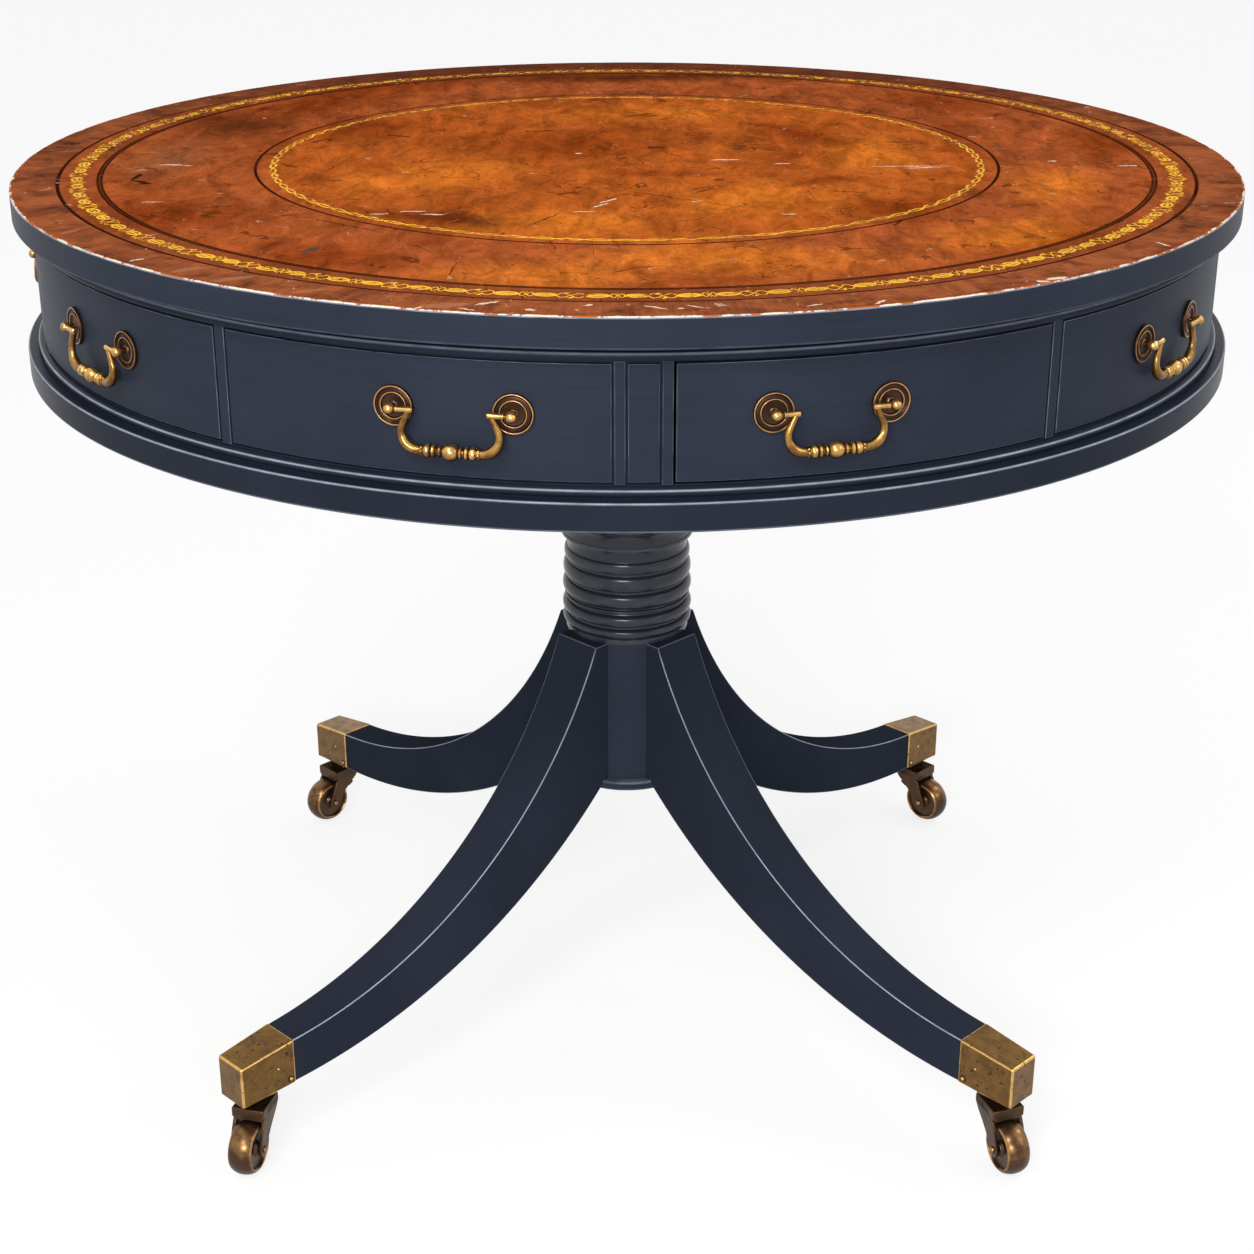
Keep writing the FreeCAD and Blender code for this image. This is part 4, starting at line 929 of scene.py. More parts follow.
class DRUMTABLE_OT_mouldings(bpy.types.Operator):
    """Turn the cornice and the base moulding"""
    bl_idname = "drum_table.mouldings"
    bl_label = "Mouldings"

    def execute(self, context):
        face, inner = group("drum").face_radius, 440 * MM
        # A darker, shaded copy of the paint, with strong painted highlights and wear on its crests.
        paint = brushed_paint("Polished paint, round the mouldings", face, 0.03, 0.30, (0.6, 1.0), 0.2, 0.76)
        low, high = CORNICE_LOW.z, CORNICE_HIGH.z
        half_round = 3.2 * MM
        cornice = [(inner, low), (face - 0.5 * MM, low)]
        # The cornice bead's upper crest carries a painted highlight, with some wear.
        cornice += arc(face, low + half_round, half_round, -80, 0, 5)
        cornice += lit_arc(face, low + half_round, half_round, 10, 80, 8, 0.5)
        cornice += profile(face, low + 2 * half_round, (-0.6, 0.1), (-7, 0.2))
        cornice += profile(face, high, (-7, 0)) + [(inner, high)]
        make_piece("cornice_bead", turned(cornice, 360, ring=True), "drum", [paint],
                   ["cornice"])
        low, high = BASE_LOW.z, BASE_HIGH.z
        band = BASE_HIGH.x
        band_top = low + 20.3 * MM
        lower, upper = 1.0 * MM, 2.0 * MM
        bead = 2.65 * MM
        bead_middle = band_top + 0.7 * MM + bead
        # The band's edges and the bead's upper crest carry painted highlights, with some wear.
        base = [(inner, low)] + arc(band - lower, low + lower, lower, -90, 0, 4, 0.3)
        base += [(band, low + lower + EDGE_FADE), (band, band_top - upper - EDGE_FADE)]
        base += lit_arc(band - upper, band_top - upper, upper, 0, 90, 8, 0.9)
        base += profile(face, band_top, (4.6, 0), (3.4, -0.5), (2.0, 0))
        base += arc(face + 1.75 * MM, bead_middle, bead, -75, 0, 6)
        base += lit_arc(face + 1.75 * MM, bead_middle, bead, 10, 80, 8, 0.9)
        base += profile(face, high, (1.0, -1.2), (-2.0, -1.2), (-2.0, 0)) + [(inner, high)]
        make_piece("base_bead", turned(base, 360, ring=True), "drum", [paint],
                   ["base_moulding"])
        return {"FINISHED"}


class DRUMTABLE_OT_frieze(bpy.types.Operator):
    """Set the posts, inset panels, false fronts and drawer fronts round the drum"""
    bl_idname = "drum_table.frieze"
    bl_label = "Posts and fronts"

    def execute(self, context):
        drum = group("drum")
        face, rounding = drum.face_radius, drum.edge_round
        low, high = BASE_HIGH.z, CORNICE_LOW.z
        half, centre = bay_angles()
        gap = degrees(drum.reveal / face)
        step = face - drum.reveal_depth
        post_half, stile_half, panel_half = (
            half_angle(width) for width in (drum.post_width, drum.stile_width, drum.panel_width))
        strip = post_half - panel_half - gap
        inset = low + drum.reveal, high - drum.reveal
        paint = brushed_paint("Brushed paint, along the fronts", face)
        bare = waxed_wood("Waxed oak lining", "#a87d4b", 2)
        posts, panels, false_fronts = bmesh.new(), bmesh.new(), bmesh.new()
        for bearing in drawer_bearings():
            middle = bearing - centre
            stile_at = middle + 180 / len(BAYS)
            blocks = [(posts, middle, face - drum.post_depth, step, post_half, low, high, 0, 8)]
            blocks += [(posts, middle + side * (post_half - strip / 2), step, face, strip / 2, low, high,
                        rounding, 4) for side in (-1, 1)]
            blocks += [(posts, stile_at, face - drum.post_depth, face, stile_half, low, high, rounding, 4),
                       (panels, middle, step, face, panel_half, *inset, rounding, 8),
                       (false_fronts, middle - centre, face - drum.front_thickness, step, half, low, high, 0),
                       (false_fronts, middle - centre, step, face, half - gap, *inset, rounding)]
            for piece, at, *block in blocks:
                add_part(piece, ring_block(*block), facing(at))
        make_piece("posts", posts, "drum", [paint], ["frieze_posts"])
        make_piece("post_panels", panels, "drum", [paint], ["inset_panels"])
        make_piece("blind_fronts", false_fronts, "drum", [paint], ["false_fronts"])
        back_face = face - 0.9 * drum.front_thickness
        for bay, bearing in zip(BAYS, drawer_bearings()):
            front = ring_block(face - drum.front_thickness, face, half - gap, *inset, rounding)
            second_material(front, lambda middle, normal: hypot(*middle.xy) < back_face)
            front.transform(facing(bearing))
            make_piece("front_%d" % bay, front, "drawer_%d" % bay, [paint, bare],
                       ["drawer_front_%d" % bay])
        return {"FINISHED"}


class DRUMTABLE_OT_inside(bpy.types.Operator):
    """Finish the drawers, runners, floor and pivot, which show when a drawer is out"""
    bl_idname = "drum_table.inside"
    bl_label = "Inside of the drum"

    def execute(self, context):
        lining = waxed_wood("Waxed oak, upright grain", "#b08550", 2)
        for bay in BAYS:
            finish_node("drawer_box_%d" % bay, lining)
        pine = waxed_wood("Planed pine", "#a98656", 0)
        steel = turned_steel()
        plate = aged_brass("Rolled brass plate", group("finish").brass, 4 * MM, 0.35)
        for name, material in (("drawer_rails", pine), ("drum_floor", pine), ("swivel_spindle", steel),
                               ("spindle_nut", steel), ("pivot_plate", plate)):
            finish_node(name, material)
        return {"FINISHED"}


# Handles

def handle_mount():
    """Rosette with two raised rings, a stepped foot and a ball-ended post, standing up along Z."""
    handle = group("handle")
    rim = handle.rosette_radius
    # The rosette's ring crests and the post's ball are marked worn and lit: partly worn brass, partly a
    # painted highlight.
    outline = [(0, 0)] + profile(rim, 0, (-0.3, 0), (0, 0.5, 0.4))
    outline += lit_arc(rim - 0.8 * MM, 1.7 * MM, 0.8 * MM, 0, 180, 8, 1.0)
    outline += profile(rim, 0, (-2.3, 1.1), (-3.0, 1.35, 0.3), (-3.4, 1.1), (-4.1, 1.2))
    outline += lit_arc(rim - 4.9 * MM, 1.6 * MM, 0.7 * MM, 0, 180, 8, 1.0) + profile(rim, 0, (-6.0, 1.0))
    outline += profile(0, 0, (5.2, 0.7), (3.6, 0.8), (3.1, 1.6, 0.5), (2.2, 2.1, 0.3), (1.8, 3.4, 0.3),
                       (1.9, 5.0, 0.6))
    outline += arc(0, handle.post_reach, handle.ball_radius, -56, 90, 12, 1.0)
    outline[-1] = (0, outline[-1][1], 1.0)
    mount = turned(outline, 48)
    second_material(mount, lambda middle, normal: middle.z > 3.4 * MM)
    return mount


def ring_at(bm, across, height, out, lean, radius, rubbed, sides):
    """A ring of the bail, square to its run, which leans by an angle in degrees."""
    layer = bm.verts.layers.float.get("rubbed")
    turn = Matrix.Translation((out, across, height)) @ Matrix.Rotation(radians(lean), 4, "X")
    made = bmesh.ops.create_circle(bm, segments=sides, radius=radius, matrix=turn @ LAID_DOWN)
    for vert in made["verts"]:
        vert[layer] = rubbed
    return list({edge for vert in made["verts"] for edge in vert.link_edges})


def skin(bm, places, sides=18):
    """Join rings in order into one closed skin. Each place is (across, height, out, lean, radius, wear and
    highlight).
    """
    bridge(bm, [ring_at(bm, *place, sides) for place in places])


def bridge(bm, rings):
    """Bridge rings of edges in order, and close both ends."""
    for near, far in zip(rings, rings[1:]):
        bmesh.ops.bridge_loops(bm, edges=near + far)
    for ring in (rings[0], rings[-1]):
        bmesh.ops.contextual_create(bm, geom=ring)


# How far the grip stands in front of the pins, so that its ball clears the curved front
GRIP_PROUD = 0.7 * MM

# The turned grip from its middle outwards: distance and radius in mm, and how bright it is worn and lit,
# partly a painted highlight (below zero, sunk and dark)
GRIP = (
    (5.5, 2.8, -0.3), (6.0, 3.5, 0.6), (6.8, 4.1, 1.0), (7.7, 3.7, 0.7), (8.2, 2.8, -0.3), (9.2, 2.7, 0.1),
    (9.8, 3.6, 0.6), (10.6, 4.5, 1.0), (11.6, 4.6, 1.0), (12.4, 3.8, 0.6), (12.8, 3.1, -0.3),
    (13.3, 3.9, 0.6), (14.3, 4.6, 1.0), (15.7, 4.7, 1.0), (16.9, 4.3, 0.8), (17.6, 3.5, 0.2),
    (18.2, 3.2, -0.3),
)


def bail_places(out, height):
    """Rings of the bail from the middle of its ball along the grip, round the bend and up to the neck."""
    handle = group("handle")
    drop = height - handle.drop
    ball = 6.0 * MM
    proud = out + GRIP_PROUD
    turns = [radians(90 - step * 9.5) for step in range(7)]
    # The ball, arms and neck are marked worn and lit: partly worn brass, partly a painted highlight.
    places = [(ball * cos(turn), drop, proud, 0, ball * sin(turn), 0.85) for turn in turns]
    places += [(across * MM, drop, proud, 0, radius * MM, rubbed) for across, radius, rubbed in GRIP]
    bend_drop = handle.drop - handle.bend_radius
    side = handle.neck - handle.bend_centre
    lean = -degrees(pi / 2 - atan2(side, bend_drop) + asin(handle.bend_radius / hypot(side, bend_drop)))
    steps = 20
    for step in range(steps + 1):
        share = step / steps
        turn = radians(lean * share)
        arm = (3.3 + 0.65 * sin(pi * min(1, 1.5 * share)) - 0.9 * share) * MM
        places.append((handle.bend_centre - handle.bend_radius * sin(turn),
                       height - bend_drop - handle.bend_radius * cos(turn),
                       out + GRIP_PROUD * (1 - share), -lean * share, arm, 0.62))
    across, rise = places[-1][:2]
    return places + [(across + (handle.neck - across) * share, rise + (height - rise) * share, out, -lean,
                      (2.4 - 0.3 * share) * MM, 0.62) for share in (0.3, 0.65, 1.0)]


# Pins of the bail from inside its eyes outwards: distance from the neck and radius in mm, and how bright they
# are worn and lit, partly a painted highlight
PIN = (
    (-2.9, 0.4, 0.6), (-2.8, 1.6, 0.9), (-2.1, 2.3, 1.0), (1.0, 2.2, 1.0), (2.4, 1.95, 0.9), (7.2, 1.95, 0.9),
    (7.6, 2.3, 1.0), (8.5, 2.3, 1.0), (8.8, 1.8, -0.2),
)


def bail():
    """Cast bail: ball and beads on the grip, two swan-neck arms, curled leaves between them, and its pins."""
    handle = group("handle")
    bm = worn_mesh()
    height, out = handle_axis()
    right = bail_places(out, height)
    left = [(-across, *rest[:2], -rest[2], *rest[3:]) for across, *rest in reversed(right[1:])]
    skin(bm, left + right)
    spread = asin(handle.spacing / 2 / group("drum").face_radius)
    ball_across = (out / cos(spread)) * sin(spread)
    for side in (-1, 1):
        places = [(side * (handle.neck + across * MM), height, out, 0, radius * MM, rubbed)
                  for across, radius, rubbed in PIN]
        places.append((side * (ball_across + 1.0 * MM), height, out, 0, 1.6 * MM, 0.2))
        skin(bm, places, 16)
        # The curled leaves are marked worn and lit, partly a painted highlight.
        for lobe in range(6):
            turn = FULL_TURN * lobe / 6
            centre = Matrix.Translation((out + GRIP_PROUD + 2.5 * MM * cos(turn), side * 19.0 * MM,
                                         height - handle.drop + 2.5 * MM * sin(turn)))
            curl = bmesh.ops.create_icosphere(bm, subdivisions=2, radius=1.15 * MM, matrix=centre)
            for vert in curl["verts"]:
                vert[bm.verts.layers.float.get("rubbed")] = 0.8
    bmesh.ops.recalc_face_normals(bm, faces=bm.faces)
    return bm


def handle_axis():
    """Height of the handles' pins, and their distance from the middle of the table."""
    x, y, z = JOINTS["drawer_handle_hinge_1"]["pos_m"]
    return z, hypot(x, y)


class DRUMTABLE_OT_handles(bpy.types.Operator):
    """Cast the handles and fix one to each front"""
    bl_idname = "drum_table.handles"
    bl_label = "Handles"

    def execute(self, context):
        finish, handle, face = group("finish"), group("handle"), group("drum").face_radius
        dark = aged_brass("Cast brass, darkened", finish.rosette_brass, 2.5 * MM, 0.30, bright="rosette_edge")
        bright = aged_brass("Cast brass, rubbed bright", finish.brass, 2.5 * MM, 0.2, shine_at=0.9)
        height = handle_axis()[0]
        spread = half_angle(handle.spacing)
        stand = Matrix.Translation((face, 0, height)) @ Matrix.Rotation(pi / 2, 4, "Y")
        mount, model = handle_mount(), bail()
        blind = bmesh.new()
        for bay in BAYS:
            for kind in ("drawer", "false"):
                hinge = JOINTS["%s_handle_hinge_%d" % (kind, bay)]
                bearing = bearing_of(*hinge["pos_m"][:2])
                mounts = blind if kind == "false" else bmesh.new()
                for side in (-1, 1):
                    add_part(mounts, mount.copy(), facing(bearing + side * spread) @ stand)
                if kind == "drawer":
                    make_piece("rosettes_%d" % bay, mounts, "drawer_%d" % bay, [dark, bright],
                               ["handle_mounts_%d" % bay])
                swung = model.copy()
                swung.transform(facing(bearing))
                make_piece("%s_bail_%d" % (kind, bay), swung, "%s_handle_%d" % (kind, bay), [bright],
                           ["bail_%s_%d" % (kind, bay)])
        make_piece("rosettes_blind", blind, "drum", [dark, bright], ["handle_mounts_false"])
        mount.free()
        model.free()
        return {"FINISHED"}


# Column and legs

# Beads of the neck from the legs upwards: share of the neck's height, and share of the largest bead
NECK_BEADS = ((0.136, 0.90), (0.169, 1.00), (0.058, 0.50), (0.195, 0.95), (0.214, 0.80), (0.163, 0.55))
NECK_COLLAR_SHARE = 0.065


def neck_bead(radius, low, rise, proud):
    """A full bead between two narrow necks, from its foot to its top."""
    quirk = min(1.1 * MM, rise * 0.16)
    half = rise / 2 - quirk
    middle = low + rise / 2
    turns = [radians(-90 + 180 * step / 14) for step in range(15)]
    # Each crest is marked worn and lit: a painted highlight with a little wear.
    return [(radius, low)] + [(radius + 0.35 * MM + proud * cos(turn), middle + half * sin(turn),
                               0.25 * max(0, cos(turn)) ** 6) for turn in turns]


class DRUMTABLE_OT_column(bpy.types.Operator):
    """Turn the column with its ringed neck, and the block and disc at its ends"""
    bl_idname = "drum_table.column"
    bl_label = "Column"

    def execute(self, context):
        column, leg = group("column"), group("leg")
        neck, shaft, height = column.neck_radius, column.shaft_radius, leg.top
        outline = [(0, COLUMN_LOW.z), (shaft, COLUMN_LOW.z), (shaft, height)]
        collar = column.neck_height * NECK_COLLAR_SHARE
        # The collar's edges and the bead crests are marked for painted highlights with a little wear.
        outline += profile(neck, height, (1.0, 0), (1.2, 1, 0.5))
        outline += profile(neck, height + collar, (1.0, -0.6, 0.5), (0, 0))
        height += collar
        for share, proud_share in NECK_BEADS:
            rise = column.neck_height * share
            outline += neck_bead(neck, height, rise, column.bead_proud * proud_share)
            height += rise
        cove, step, bell = 11 * MM, 2.5 * MM, 14 * MM
        cove_out, step_out, bell_out = 56 * MM, 57.6 * MM, 63 * MM
        outline += sweep_out(neck, height, cove_out, height + cove)
        outline += [(step_out, height + cove, 0.5), (step_out, height + cove + step, 0.5)]
        height += cove + step
        outline += sweep_out(step_out - 0.5 * MM, height, bell_out, height + bell)
        height += bell
        bead, block_out = 10 * MM, 60 * MM
        outline += neck_bead(bell_out, height, bead, 5 * MM)
        outline += [(block_out, height + bead), (block_out, BEARER_LOW.z), (0, BEARER_LOW.z)]
        # Lit and shaded copies of one paint: the turning's is darker, to offset the reflection of its
        # glossier coat, and the shaft's and the disc's is lighter, painted light in the drum's shade.
        paint = brushed_paint("Polished paint, round the column", neck, 0.32, 0.22, (0.0, 0.2), 0.12, 0.68)
        matt = brushed_paint("Brushed paint, round the shaft", shaft, edge_wear_and_highlight=(0.2, 0.7), tone_for_light=1.35)
        turning = turned(outline, 128)
        second_material(turning, lambda middle, normal: middle.z < leg.top)
        make_piece("turned_column", turning, "base", [paint, matt], ["column"])
        # The disc's rims and the bearer's bevel are marked for painted highlights with some wear.
        radius, low, high = CAP_HIGH.x, CAP_LOW.z, CAP_HIGH.z
        rounding = 1.6 * MM
        cap = [(0, low)] + rounded_side(radius, low, high, rounding, 0.3, 0.5) + [(0, high)]
        make_piece("column_disc", turned(cap, 128), "base", [matt], ["column_cap"])
        radius, low, high, bevel = BEARER_HIGH.x, BEARER_LOW.z, BEARER_HIGH.z, 12 * MM
        block = [(0, low), (radius - bevel, low)] + profile(radius, low + bevel, (-0.6, -1, 0.4), (0, 1, 0.4))
        block += [(radius, high), (0, high)]
        make_piece("bearer", turned(block, 160), "base", [paint], ["bearer_block"])
        return {"FINISHED"}


def sweep_out(radius, low, end_radius, high, steps=10):
    """A hollow curve that leaves upright and flares outwards."""
    return [(radius + (end_radius - radius) * (1 - cos(pi / 2 * step / steps)),
             low + (high - low) * sin(pi / 2 * step / steps)) for step in range(steps + 1)]


def sagging(start, end, radius, steps):
    """Points on the arc of a radius that sags below the line from start to end."""
    (x0, z0), (x1, z1) = start, end
    chord = hypot(x1 - x0, z1 - z0)
    rise = sqrt(radius ** 2 - (chord / 2) ** 2)
    centre = ((x0 + x1) / 2 - (z1 - z0) / chord * rise, (z0 + z1) / 2 + (x1 - x0) / chord * rise)
    first = atan2(z0 - centre[1], x0 - centre[0])
    last = atan2(z1 - centre[1], x1 - centre[0])
    turns = [first + (last - first) * step / steps for step in range(steps + 1)]
    return [(centre[0] + radius * cos(turn), centre[1] + radius * sin(turn)) for turn in turns]


def drawn_bar(sections):
    """A four-sided bar through sections of (upper point, lower point, half width) along plus X."""
    bm = worn_mesh()
    rings = []
    for upper, lower, half in sections:
        corners = [bm.verts.new((x, across, z)) for x, z, across in
                   ((*lower, -half), (*lower, half), (*upper, half), (*upper, -half))]
        rings.append([bm.edges.new(pair) for pair in zip(corners, corners[1:] + corners[:1])])
    bridge(bm, rings)
    bmesh.ops.recalc_face_normals(bm, faces=bm.faces)
    return bm


# How bright the leg's edge wear and painted highlight are at the column, as a share of the rest
END_WEAR_AND_HIGHLIGHT = 0.3


class DRUMTABLE_OT_legs(bpy.types.Operator):
    """Shape the four sabre legs"""
    bl_idname = "drum_table.legs"
    bl_label = "Legs"

    def execute(self, context):
        leg = group("leg")
        shaft = group("column").shaft_radius
        steps = 44
        upper = sagging((leg.top_reach, leg.top), (leg.foot_reach, leg.foot_top), leg.upper_curve, steps)
        lower = sagging((shaft, leg.underside), (leg.foot_reach, leg.foot_underside), leg.lower_curve, steps)
        slope = (leg.top_width - leg.foot_width) / 2 / (leg.foot_reach - leg.top_reach)
        inner = shaft - 6 * MM
        sections = [((inner, leg.top), (inner, leg.underside), leg.top_width / 2)]
        sections += [(over, under, leg.top_width / 2 - slope * (over[0] - leg.top_reach))
                     for over, under in zip(upper, lower)]
        hidden = leg.foot_reach + 20 * MM
        sections.append(((hidden, leg.foot_top - 2 * MM), (hidden, leg.foot_underside - 1 * MM),
                         leg.foot_width / 2 - 0.6 * MM))
        paint = brushed_paint("Brushed paint, down the legs", None, 0.0, 0.34, (0.7, 1.0), 0.25, 1.1)
        for corner in CORNERS:
            bm = drawn_bar(sections)
            # The rounded edges are marked worn and lit: paler paint along each arris, partly worn thin and
            # partly a painted highlight.
            round_edges(bm, leg.edge_round, 4)
            layer = bm.verts.layers.float["rubbed"]
            for vert in bm.verts:
                if vert.co.x < leg.top_reach + 1 * MM:
                    vert[layer] *= END_WEAR_AND_HIGHLIGHT
            bm.transform(facing(leg_bearing(corner)))
            make_piece("sabre_" + corner, bm, "base", [paint], ["leg_" + corner])
        return {"FINISHED"}


# Toe caps and casters

def leg_bearing(corner):
    return bearing_of(*JOINTS["caster_swivel_" + corner]["pos_m"][:2])


def stud(radius, height, ring):
    """A small domed rivet with a sunk ring round it, standing up along Z."""
    # The dome is marked worn and lit, a painted highlight with a little wear, and the sunk ring below zero is
    # darkened.
    outline = [(radius + ring * share, rise * MM, rubbed) for share, rise, rubbed in (
        (1, 0, 0.0), (1, 0.2, 0.3), (0.85, 0.25, -0.6), (0.3, 0.2, -0.9), (0, 0.2, -0.4))]
    outline += arc(0, 0, radius, 20, 90, 5, 1.0)
    outline = [(x, min(z, height), *rest) for x, z, *rest in outline]
    outline[-1] = (0, outline[-1][1], 1.0)
    return turned([(0, -0.5 * MM), (radius + ring, -0.5 * MM)] + outline, 24)


# Rivets on each side of a toe cap: reach along the cap, height, radius and width of the sunk ring, in mm
STUDS = ((5.5, 69.5, 1.7, 1.5), (17, 84, 1.1, 0.15))


class DRUMTABLE_OT_toe_caps(bpy.types.Operator):
    """Cast the brass toe caps with their pins and plates"""
    bl_idname = "drum_table.toe_caps"
    bl_label = "Toe caps"

    def execute(self, context):
        leg, caster = group("leg"), group("caster")
        lip = 0.8 * MM
        start, end = leg.foot_reach, leg.foot_reach + caster.cap_length
        near_half, far_half = leg.foot_width / 2 + lip, caster.cap_end_width / 2
        sections = [((start, leg.foot_top + lip), (start, leg.foot_underside - lip), near_half),
                    ((end, caster.cap_end_top), (end, caster.cap_end_underside), far_half)]
        brass = aged_brass("Cast brass, pitted", group("finish").cap_brass, 5 * MM, 0.30, True)
        swivel = hypot(*JOINTS["caster_swivel_front_left"]["pos_m"][:2])
        plate_low = 57 * MM
        for corner in CORNERS:
            bm = drawn_bar(sections)
            # The rounded edges are marked worn and lit: bright brass, partly worn and partly a painted
            # highlight.
            round_edges(bm, 2.0 * MM, 6, rubbed=0.85)
            for side in (-1, 1):
                for reach, height, radius, ring in STUDS:
                    half = near_half - (near_half - far_half) * reach * MM / caster.cap_length
                    add_part(bm, stud(radius * MM, 1.0 * MM, ring * MM),
                             sideways(side, start + reach * MM, side * half, height * MM))
            plate = bmesh.new()
            add_block(plate, (swivel - 11 * MM, swivel + 11 * MM), 11 * MM, (plate_low, leg.foot_underside))
            round_edges(plate, 0.8 * MM, 3)
            add_part(bm, plate)
            bm.transform(facing(leg_bearing(corner)))
            make_piece("foot_cap_" + corner, bm, "base", [brass], ["toe_cap_" + corner])
        return {"FINISHED"}


def wheel_outline():
    """Wheel with a rounded tread, a raised rim and a sunk side with a hub, along its axle."""
    caster = group("caster")
    radius, half = caster.wheel_radius, caster.wheel_width / 2
    crown = 3.4 * MM
    # The rim's crest and the tread are marked worn and lit: partly worn brass, partly a painted highlight.
    side = profile(0, half, (2.55, -0.3), (5.2, -0.3, 0.6), (5.8, -1.2, 0.3), (7.2, -2.6))
    side += profile(radius, half, (-6.4, -2.6), (-5.4, -0.8, 0.4), (-4.7, 0, 0.9), (-4.0, 0, 1.0),
                    (-3.4, -0.4, 0.9))
    tread = [(half - 1.4 * MM) * (1 - step / 4) for step in range(9)]
    tread = [(radius - crown * (abs(across) / half) ** 2.4, across, 0.55) for across in tread]
    return side + tread + [(x, -z, *rest) for x, z, *rest in reversed(side)]


class DRUMTABLE_OT_casters(bpy.types.Operator):
    """Cast the caster forks and turn their wheels"""
    bl_idname = "drum_table.casters"
    bl_label = "Casters"

    def execute(self, context):
        caster = group("caster")
        bronze = aged_brass("Cast brass, browned", group("finish").caster_brass, 6 * MM, 0.28,
                            bright="rosette_edge", shine_at=1.0)
        for corner in CORNERS:
            swivel = Vector(JOINTS["caster_swivel_" + corner]["pos_m"])
            axle = Vector(JOINTS["wheel_spin_" + corner]["pos_m"])
            trail = (axle - swivel).xy
            turn = Matrix.Translation((swivel.x, swivel.y, 0)) @ facing(bearing_of(*trail))
            fork = fork_casting(trail.length, axle.z, caster.wheel_width / 2 + 1.0 * MM)
            fork.transform(turn)
            make_piece("fork_" + corner, fork, "caster_" + corner, [bronze],
                       ["caster_fork_" + corner])
            wheel = turned(wheel_outline(), 72, ring=True)
            wheel.transform(turn @ Matrix.Translation((trail.length, 0, axle.z)) @ LAID_DOWN)
            make_piece("roller_" + corner, wheel, "wheel_" + corner, [bronze],
                       ["caster_wheel_" + corner])
        return {"FINISHED"}


def hood(axle, axle_height, half):
    """Curved web between the fork's arms, which follows the tread a little above it."""
    near = group("caster").wheel_radius + 1.8 * MM
    thick, start, sweep = 7 * MM, 94.5, 56
    bm = spun_block(near, near + thick, -half, half, 0, sweep, 12)
    # The rounded edges are marked worn and lit: partly worn brass, partly a painted highlight.
    round_edges(bm, 0.8 * MM, 2, rubbed=0.3)
    bm.transform(LAID_DOWN @ Matrix.Rotation(radians(start), 4, "Z"))
    bm.transform(Matrix.Translation((axle, 0, axle_height)))
    return bm


def fork_casting(axle, axle_height, inner):
    """Crown plate, two arms that narrow to the axle's bosses, the stem and the riveted axle.

    The stem stands on the Z axis, and the axle lies a distance from it along plus X."""
    high = 56.7 * MM
    thick = 3 * MM
    outer = inner + thick
    back, front, brow = -7 * MM, 15 * MM, 24 * MM
    crown = 9.5 * MM
    bm = worn_mesh()
    add_block(bm, (back, brow), outer, (high - crown, high))
    # The crown's and the arms' rounded edges are marked worn and lit: partly worn brass, partly a painted
    # highlight.
    round_edges(bm, 1.6 * MM, 3, rubbed=0.35)
    add_part(bm, hood(axle, axle_height, inner + 1 * MM))
    boss = 6.2 * MM
    outline = [(front, high - 1 * MM)]
    for step in range(7):
        share = step / 6
        x = front + (axle + boss - front) * share ** 0.8 * 0.98
        outline.append((x, high - 5 * MM + (axle_height - high + 5 * MM) * share ** 1.2))
    for step in range(1, 10):
        turn = radians(-4 - step * 15)
        outline.append((axle + boss * cos(turn), axle_height + boss * sin(turn)))
    for step in range(1, 6):
        share = step / 6
        outline.append((axle - boss + (back - axle + boss) * share,
                        axle_height - 1 * MM + (high - 8 * MM - axle_height) * share ** 0.75))
    outline += [(back, high - 7 * MM), (back, high - 1 * MM)]
    for low in (-outer, inner):
        arm = bmesh.new()
        face = arm.faces.new([arm.verts.new((x, low, z)) for x, z in outline])
        made = bmesh.ops.extrude_face_region(arm, geom=[face], use_keep_orig=True)
        moved = [item for item in made["geom"] if isinstance(item, bmesh.types.BMVert)]
        bmesh.ops.translate(arm, verts=moved, vec=(0, thick, 0))
        bmesh.ops.recalc_face_normals(arm, faces=arm.faces)
        round_edges(arm, 0.7 * MM, 3, radians(50), rubbed=0.4)
        add_part(bm, arm)
    for side in (-1, 1):
        add_part(bm, stud(2.6 * MM, 1.3 * MM, 0.8 * MM), sideways(side, axle, side * outer, axle_height))
    pin = turned(profile(0, -inner, (0, -1), (2.5, -1)) + profile(0, inner, (2.5, 1), (0, 1)), 24)
    add_part(bm, pin, Matrix.Translation((axle, 0, axle_height)) @ LAID_DOWN)
    add_part(bm, turned(profile(0, high, (0, -2), (4.5, -2), (4.5, 30), (0, 30)), 24))
    return bm


# Stage

# Lamps: name, place, aim, width and height of the lit area in metres, and power in watts
LAMPS = (
    ("key", (-0.9, -2.2, 2.6), (0, 0, 0.4), 0.7, 0.7, 27),
    ("fill", (2.6, -1.4, 2.0), (0, 0, 0.4), 1.4, 1.4, 12),
    ("front strip", (-0.35, -2.6, 1.25), (0, 0, 0.35), 0.9, 0.2, 34),
    ("low fill", (0.5, -2.8, 0.7), (0, 0, 0.35), 1.6, 1.6, 2),
    ("side", (1.79, 0.56, 1.91), (0.14, -0.14, 0.18), 0.5, 0.5, 6),
)


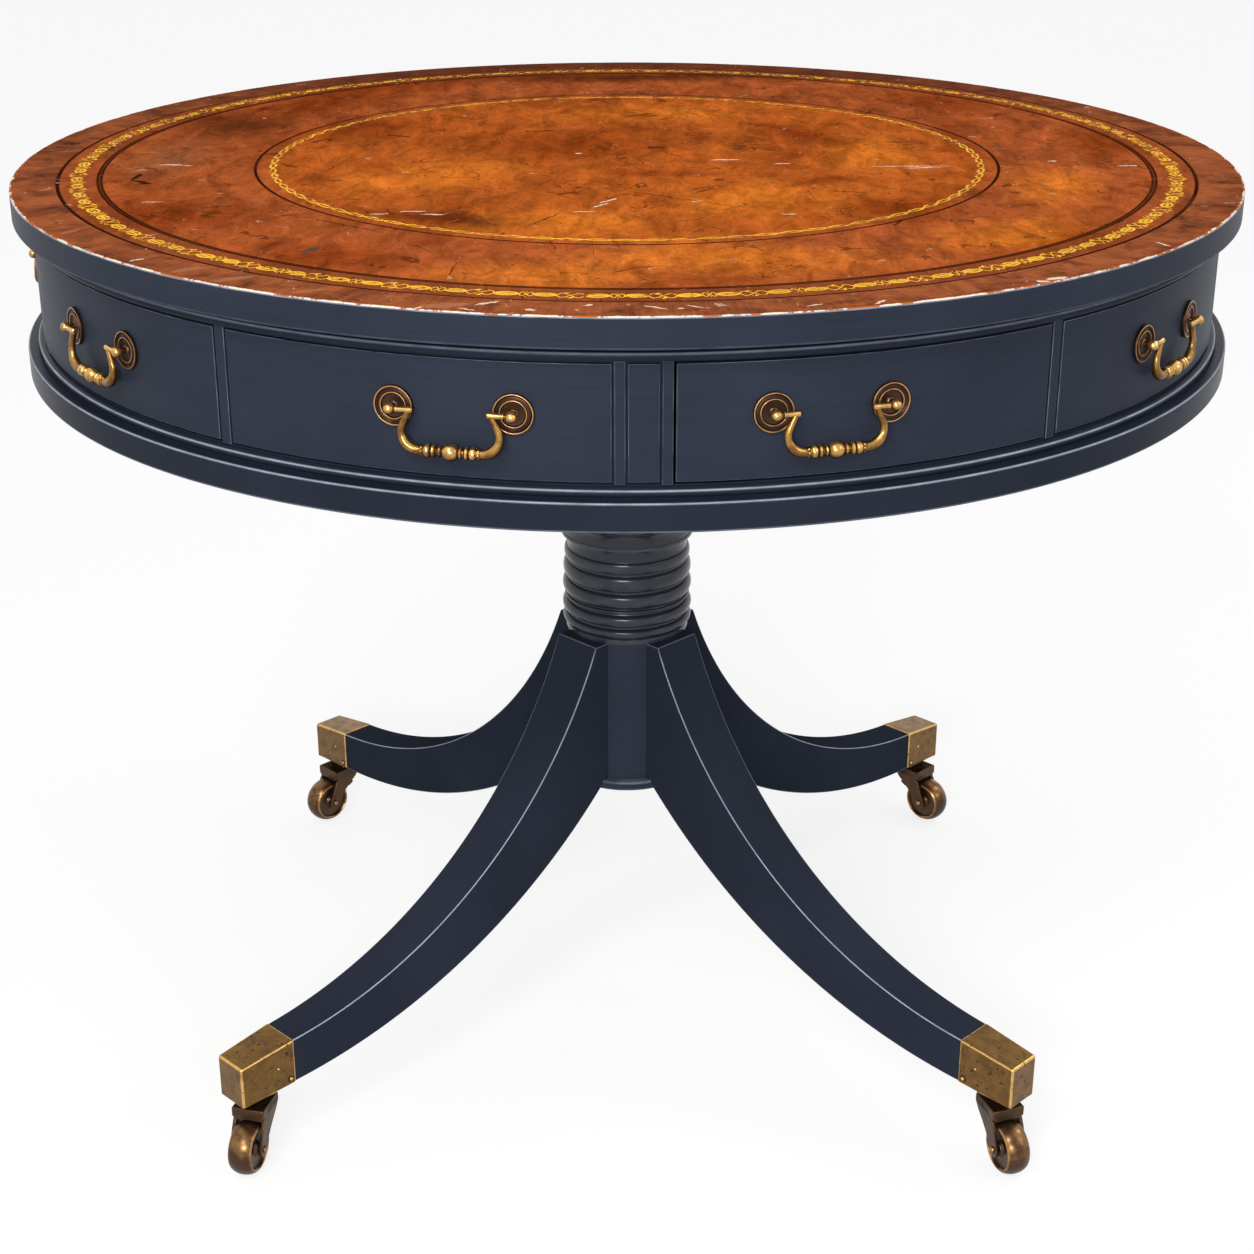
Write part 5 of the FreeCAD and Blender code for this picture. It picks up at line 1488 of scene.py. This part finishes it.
class DRUMTABLE_OT_stage(bpy.types.Operator):
    """Lay the pale floor and set the lamps and the camera"""
    bl_idname = "drum_table.stage"
    bl_label = "Stage"

    def execute(self, context):
        scene = context.scene
        scene.view_settings.view_transform = "Standard"
        floor_mesh = bpy.data.meshes.new("floor")
        bm = bmesh.new()
        bmesh.ops.create_grid(bm, x_segments=1, y_segments=1, size=14)
        bm.to_mesh(floor_mesh)
        bm.free()
        floor_mesh.materials.append(pale_floor())
        floor = add_object("floor", floor_mesh)
        light_world(scene)
        for name, place, aim, width, height, power in LAMPS:
            lamp = bpy.data.lights.new(name, "AREA")
            lamp.shape = "RECTANGLE"
            lamp.size, lamp.size_y, lamp.energy = width, height, power
            add_object(name, lamp, place, (Vector(aim) - Vector(place)).to_track_quat("-Z", "Y").to_euler())
        camera = bpy.data.cameras.new("camera")
        camera.sensor_width = 36
        camera.lens = 63.62
        camera.clip_end = 100
        scene.camera = add_object("camera", camera, (0, -1.8174, 1.1214), (radians(66.8), 0, 0))
        return {"FINISHED"}


def pale_floor():
    """Matt white studio floor: what is seen is lifted to white but keeps the contact shadows."""
    material, add, shader, place = start_material("White studio floor")
    end_material(add, shader, (0.45, 0.45, 0.45), 0.9, gloss=0.0)
    shadowed = add("BsdfDiffuse", (0.26, 0.26, 0.26))
    glow = add("Emission", WHITE, 0.77)
    lifted = add("AddShader", shadowed, glow)
    mixed = add("MixShader", seen_directly(add), shader, lifted)
    plug(mixed, material.node_tree.nodes["Material Output"].inputs["Surface"])
    return material


def seen_directly(add):
    """1 for what the camera, a reflection or a view through glass sees, and 0 for light on the object."""
    path = add("LightPath")
    seen = add("Math MAXIMUM", (path, "Is Camera Ray"), (path, "Is Glossy Ray"))
    return add("Math MAXIMUM", seen, (path, "Is Transmission Ray"))


def light_world(scene):
    """A soft studio sky, brighter overhead, that is plain white where it is seen."""
    world = bpy.data.worlds.new("Soft studio")
    world.use_nodes = True
    scene.world = world
    add = partial(add_node, world.node_tree)
    sky = world.node_tree.nodes["Background"]
    parts = add("SeparateXYZ", (add("TexCoord"), "Generated"))
    level = add("MapRange", (parts, "Z"), 0.0, 0.8, 0.36, 0.68, interpolation_type="SMOOTHSTEP")
    plug(level, sky.inputs["Strength"])
    plug(WHITE, sky.inputs["Color"])
    plain = add("Background", WHITE, 1.0)
    mixed = add("MixShader", seen_directly(add), sky, plain)
    plug(mixed, world.node_tree.nodes["World Output"].inputs["Surface"])


class DRUMTABLE_PT_panel(bpy.types.Panel):
    """Lists the operators and the sizes of the drum table"""
    bl_label = "Drum Table"
    bl_idname = "DRUMTABLE_PT_panel"
    bl_space_type = "VIEW_3D"
    bl_region_type = "UI"
    bl_category = "Drum Table"

    def draw(self, context):
        for operator in OPERATORS:
            self.layout.operator(operator.bl_idname)
        for key, kind in GROUPS.items():
            box = self.layout.box()
            box.label(text=kind.__name__)
            for prop in kind.__annotations__:
                box.prop(getattr(context.scene, key), prop)


OPERATORS = (
    DRUMTABLE_OT_board, DRUMTABLE_OT_lining, DRUMTABLE_OT_mouldings, DRUMTABLE_OT_frieze, DRUMTABLE_OT_inside,
    DRUMTABLE_OT_handles, DRUMTABLE_OT_column, DRUMTABLE_OT_legs, DRUMTABLE_OT_toe_caps, DRUMTABLE_OT_casters,
    DRUMTABLE_OT_stage,
)


def register():
    for kind in (*GROUPS.values(), *OPERATORS, DRUMTABLE_PT_panel):
        bpy.utils.register_class(kind)
    for key, kind in GROUPS.items():
        setattr(bpy.types.Scene, key, PointerProperty(type=kind))


def unregister():
    for key in GROUPS:
        delattr(bpy.types.Scene, key)
    for kind in (DRUMTABLE_PT_panel, *reversed(OPERATORS), *reversed(GROUPS.values())):
        bpy.utils.unregister_class(kind)


def main():
    register()
    for operator in OPERATORS:
        family, name = operator.bl_idname.split(".")
        getattr(getattr(bpy.ops, family), name)()


if __name__ == "__main__":
    main()
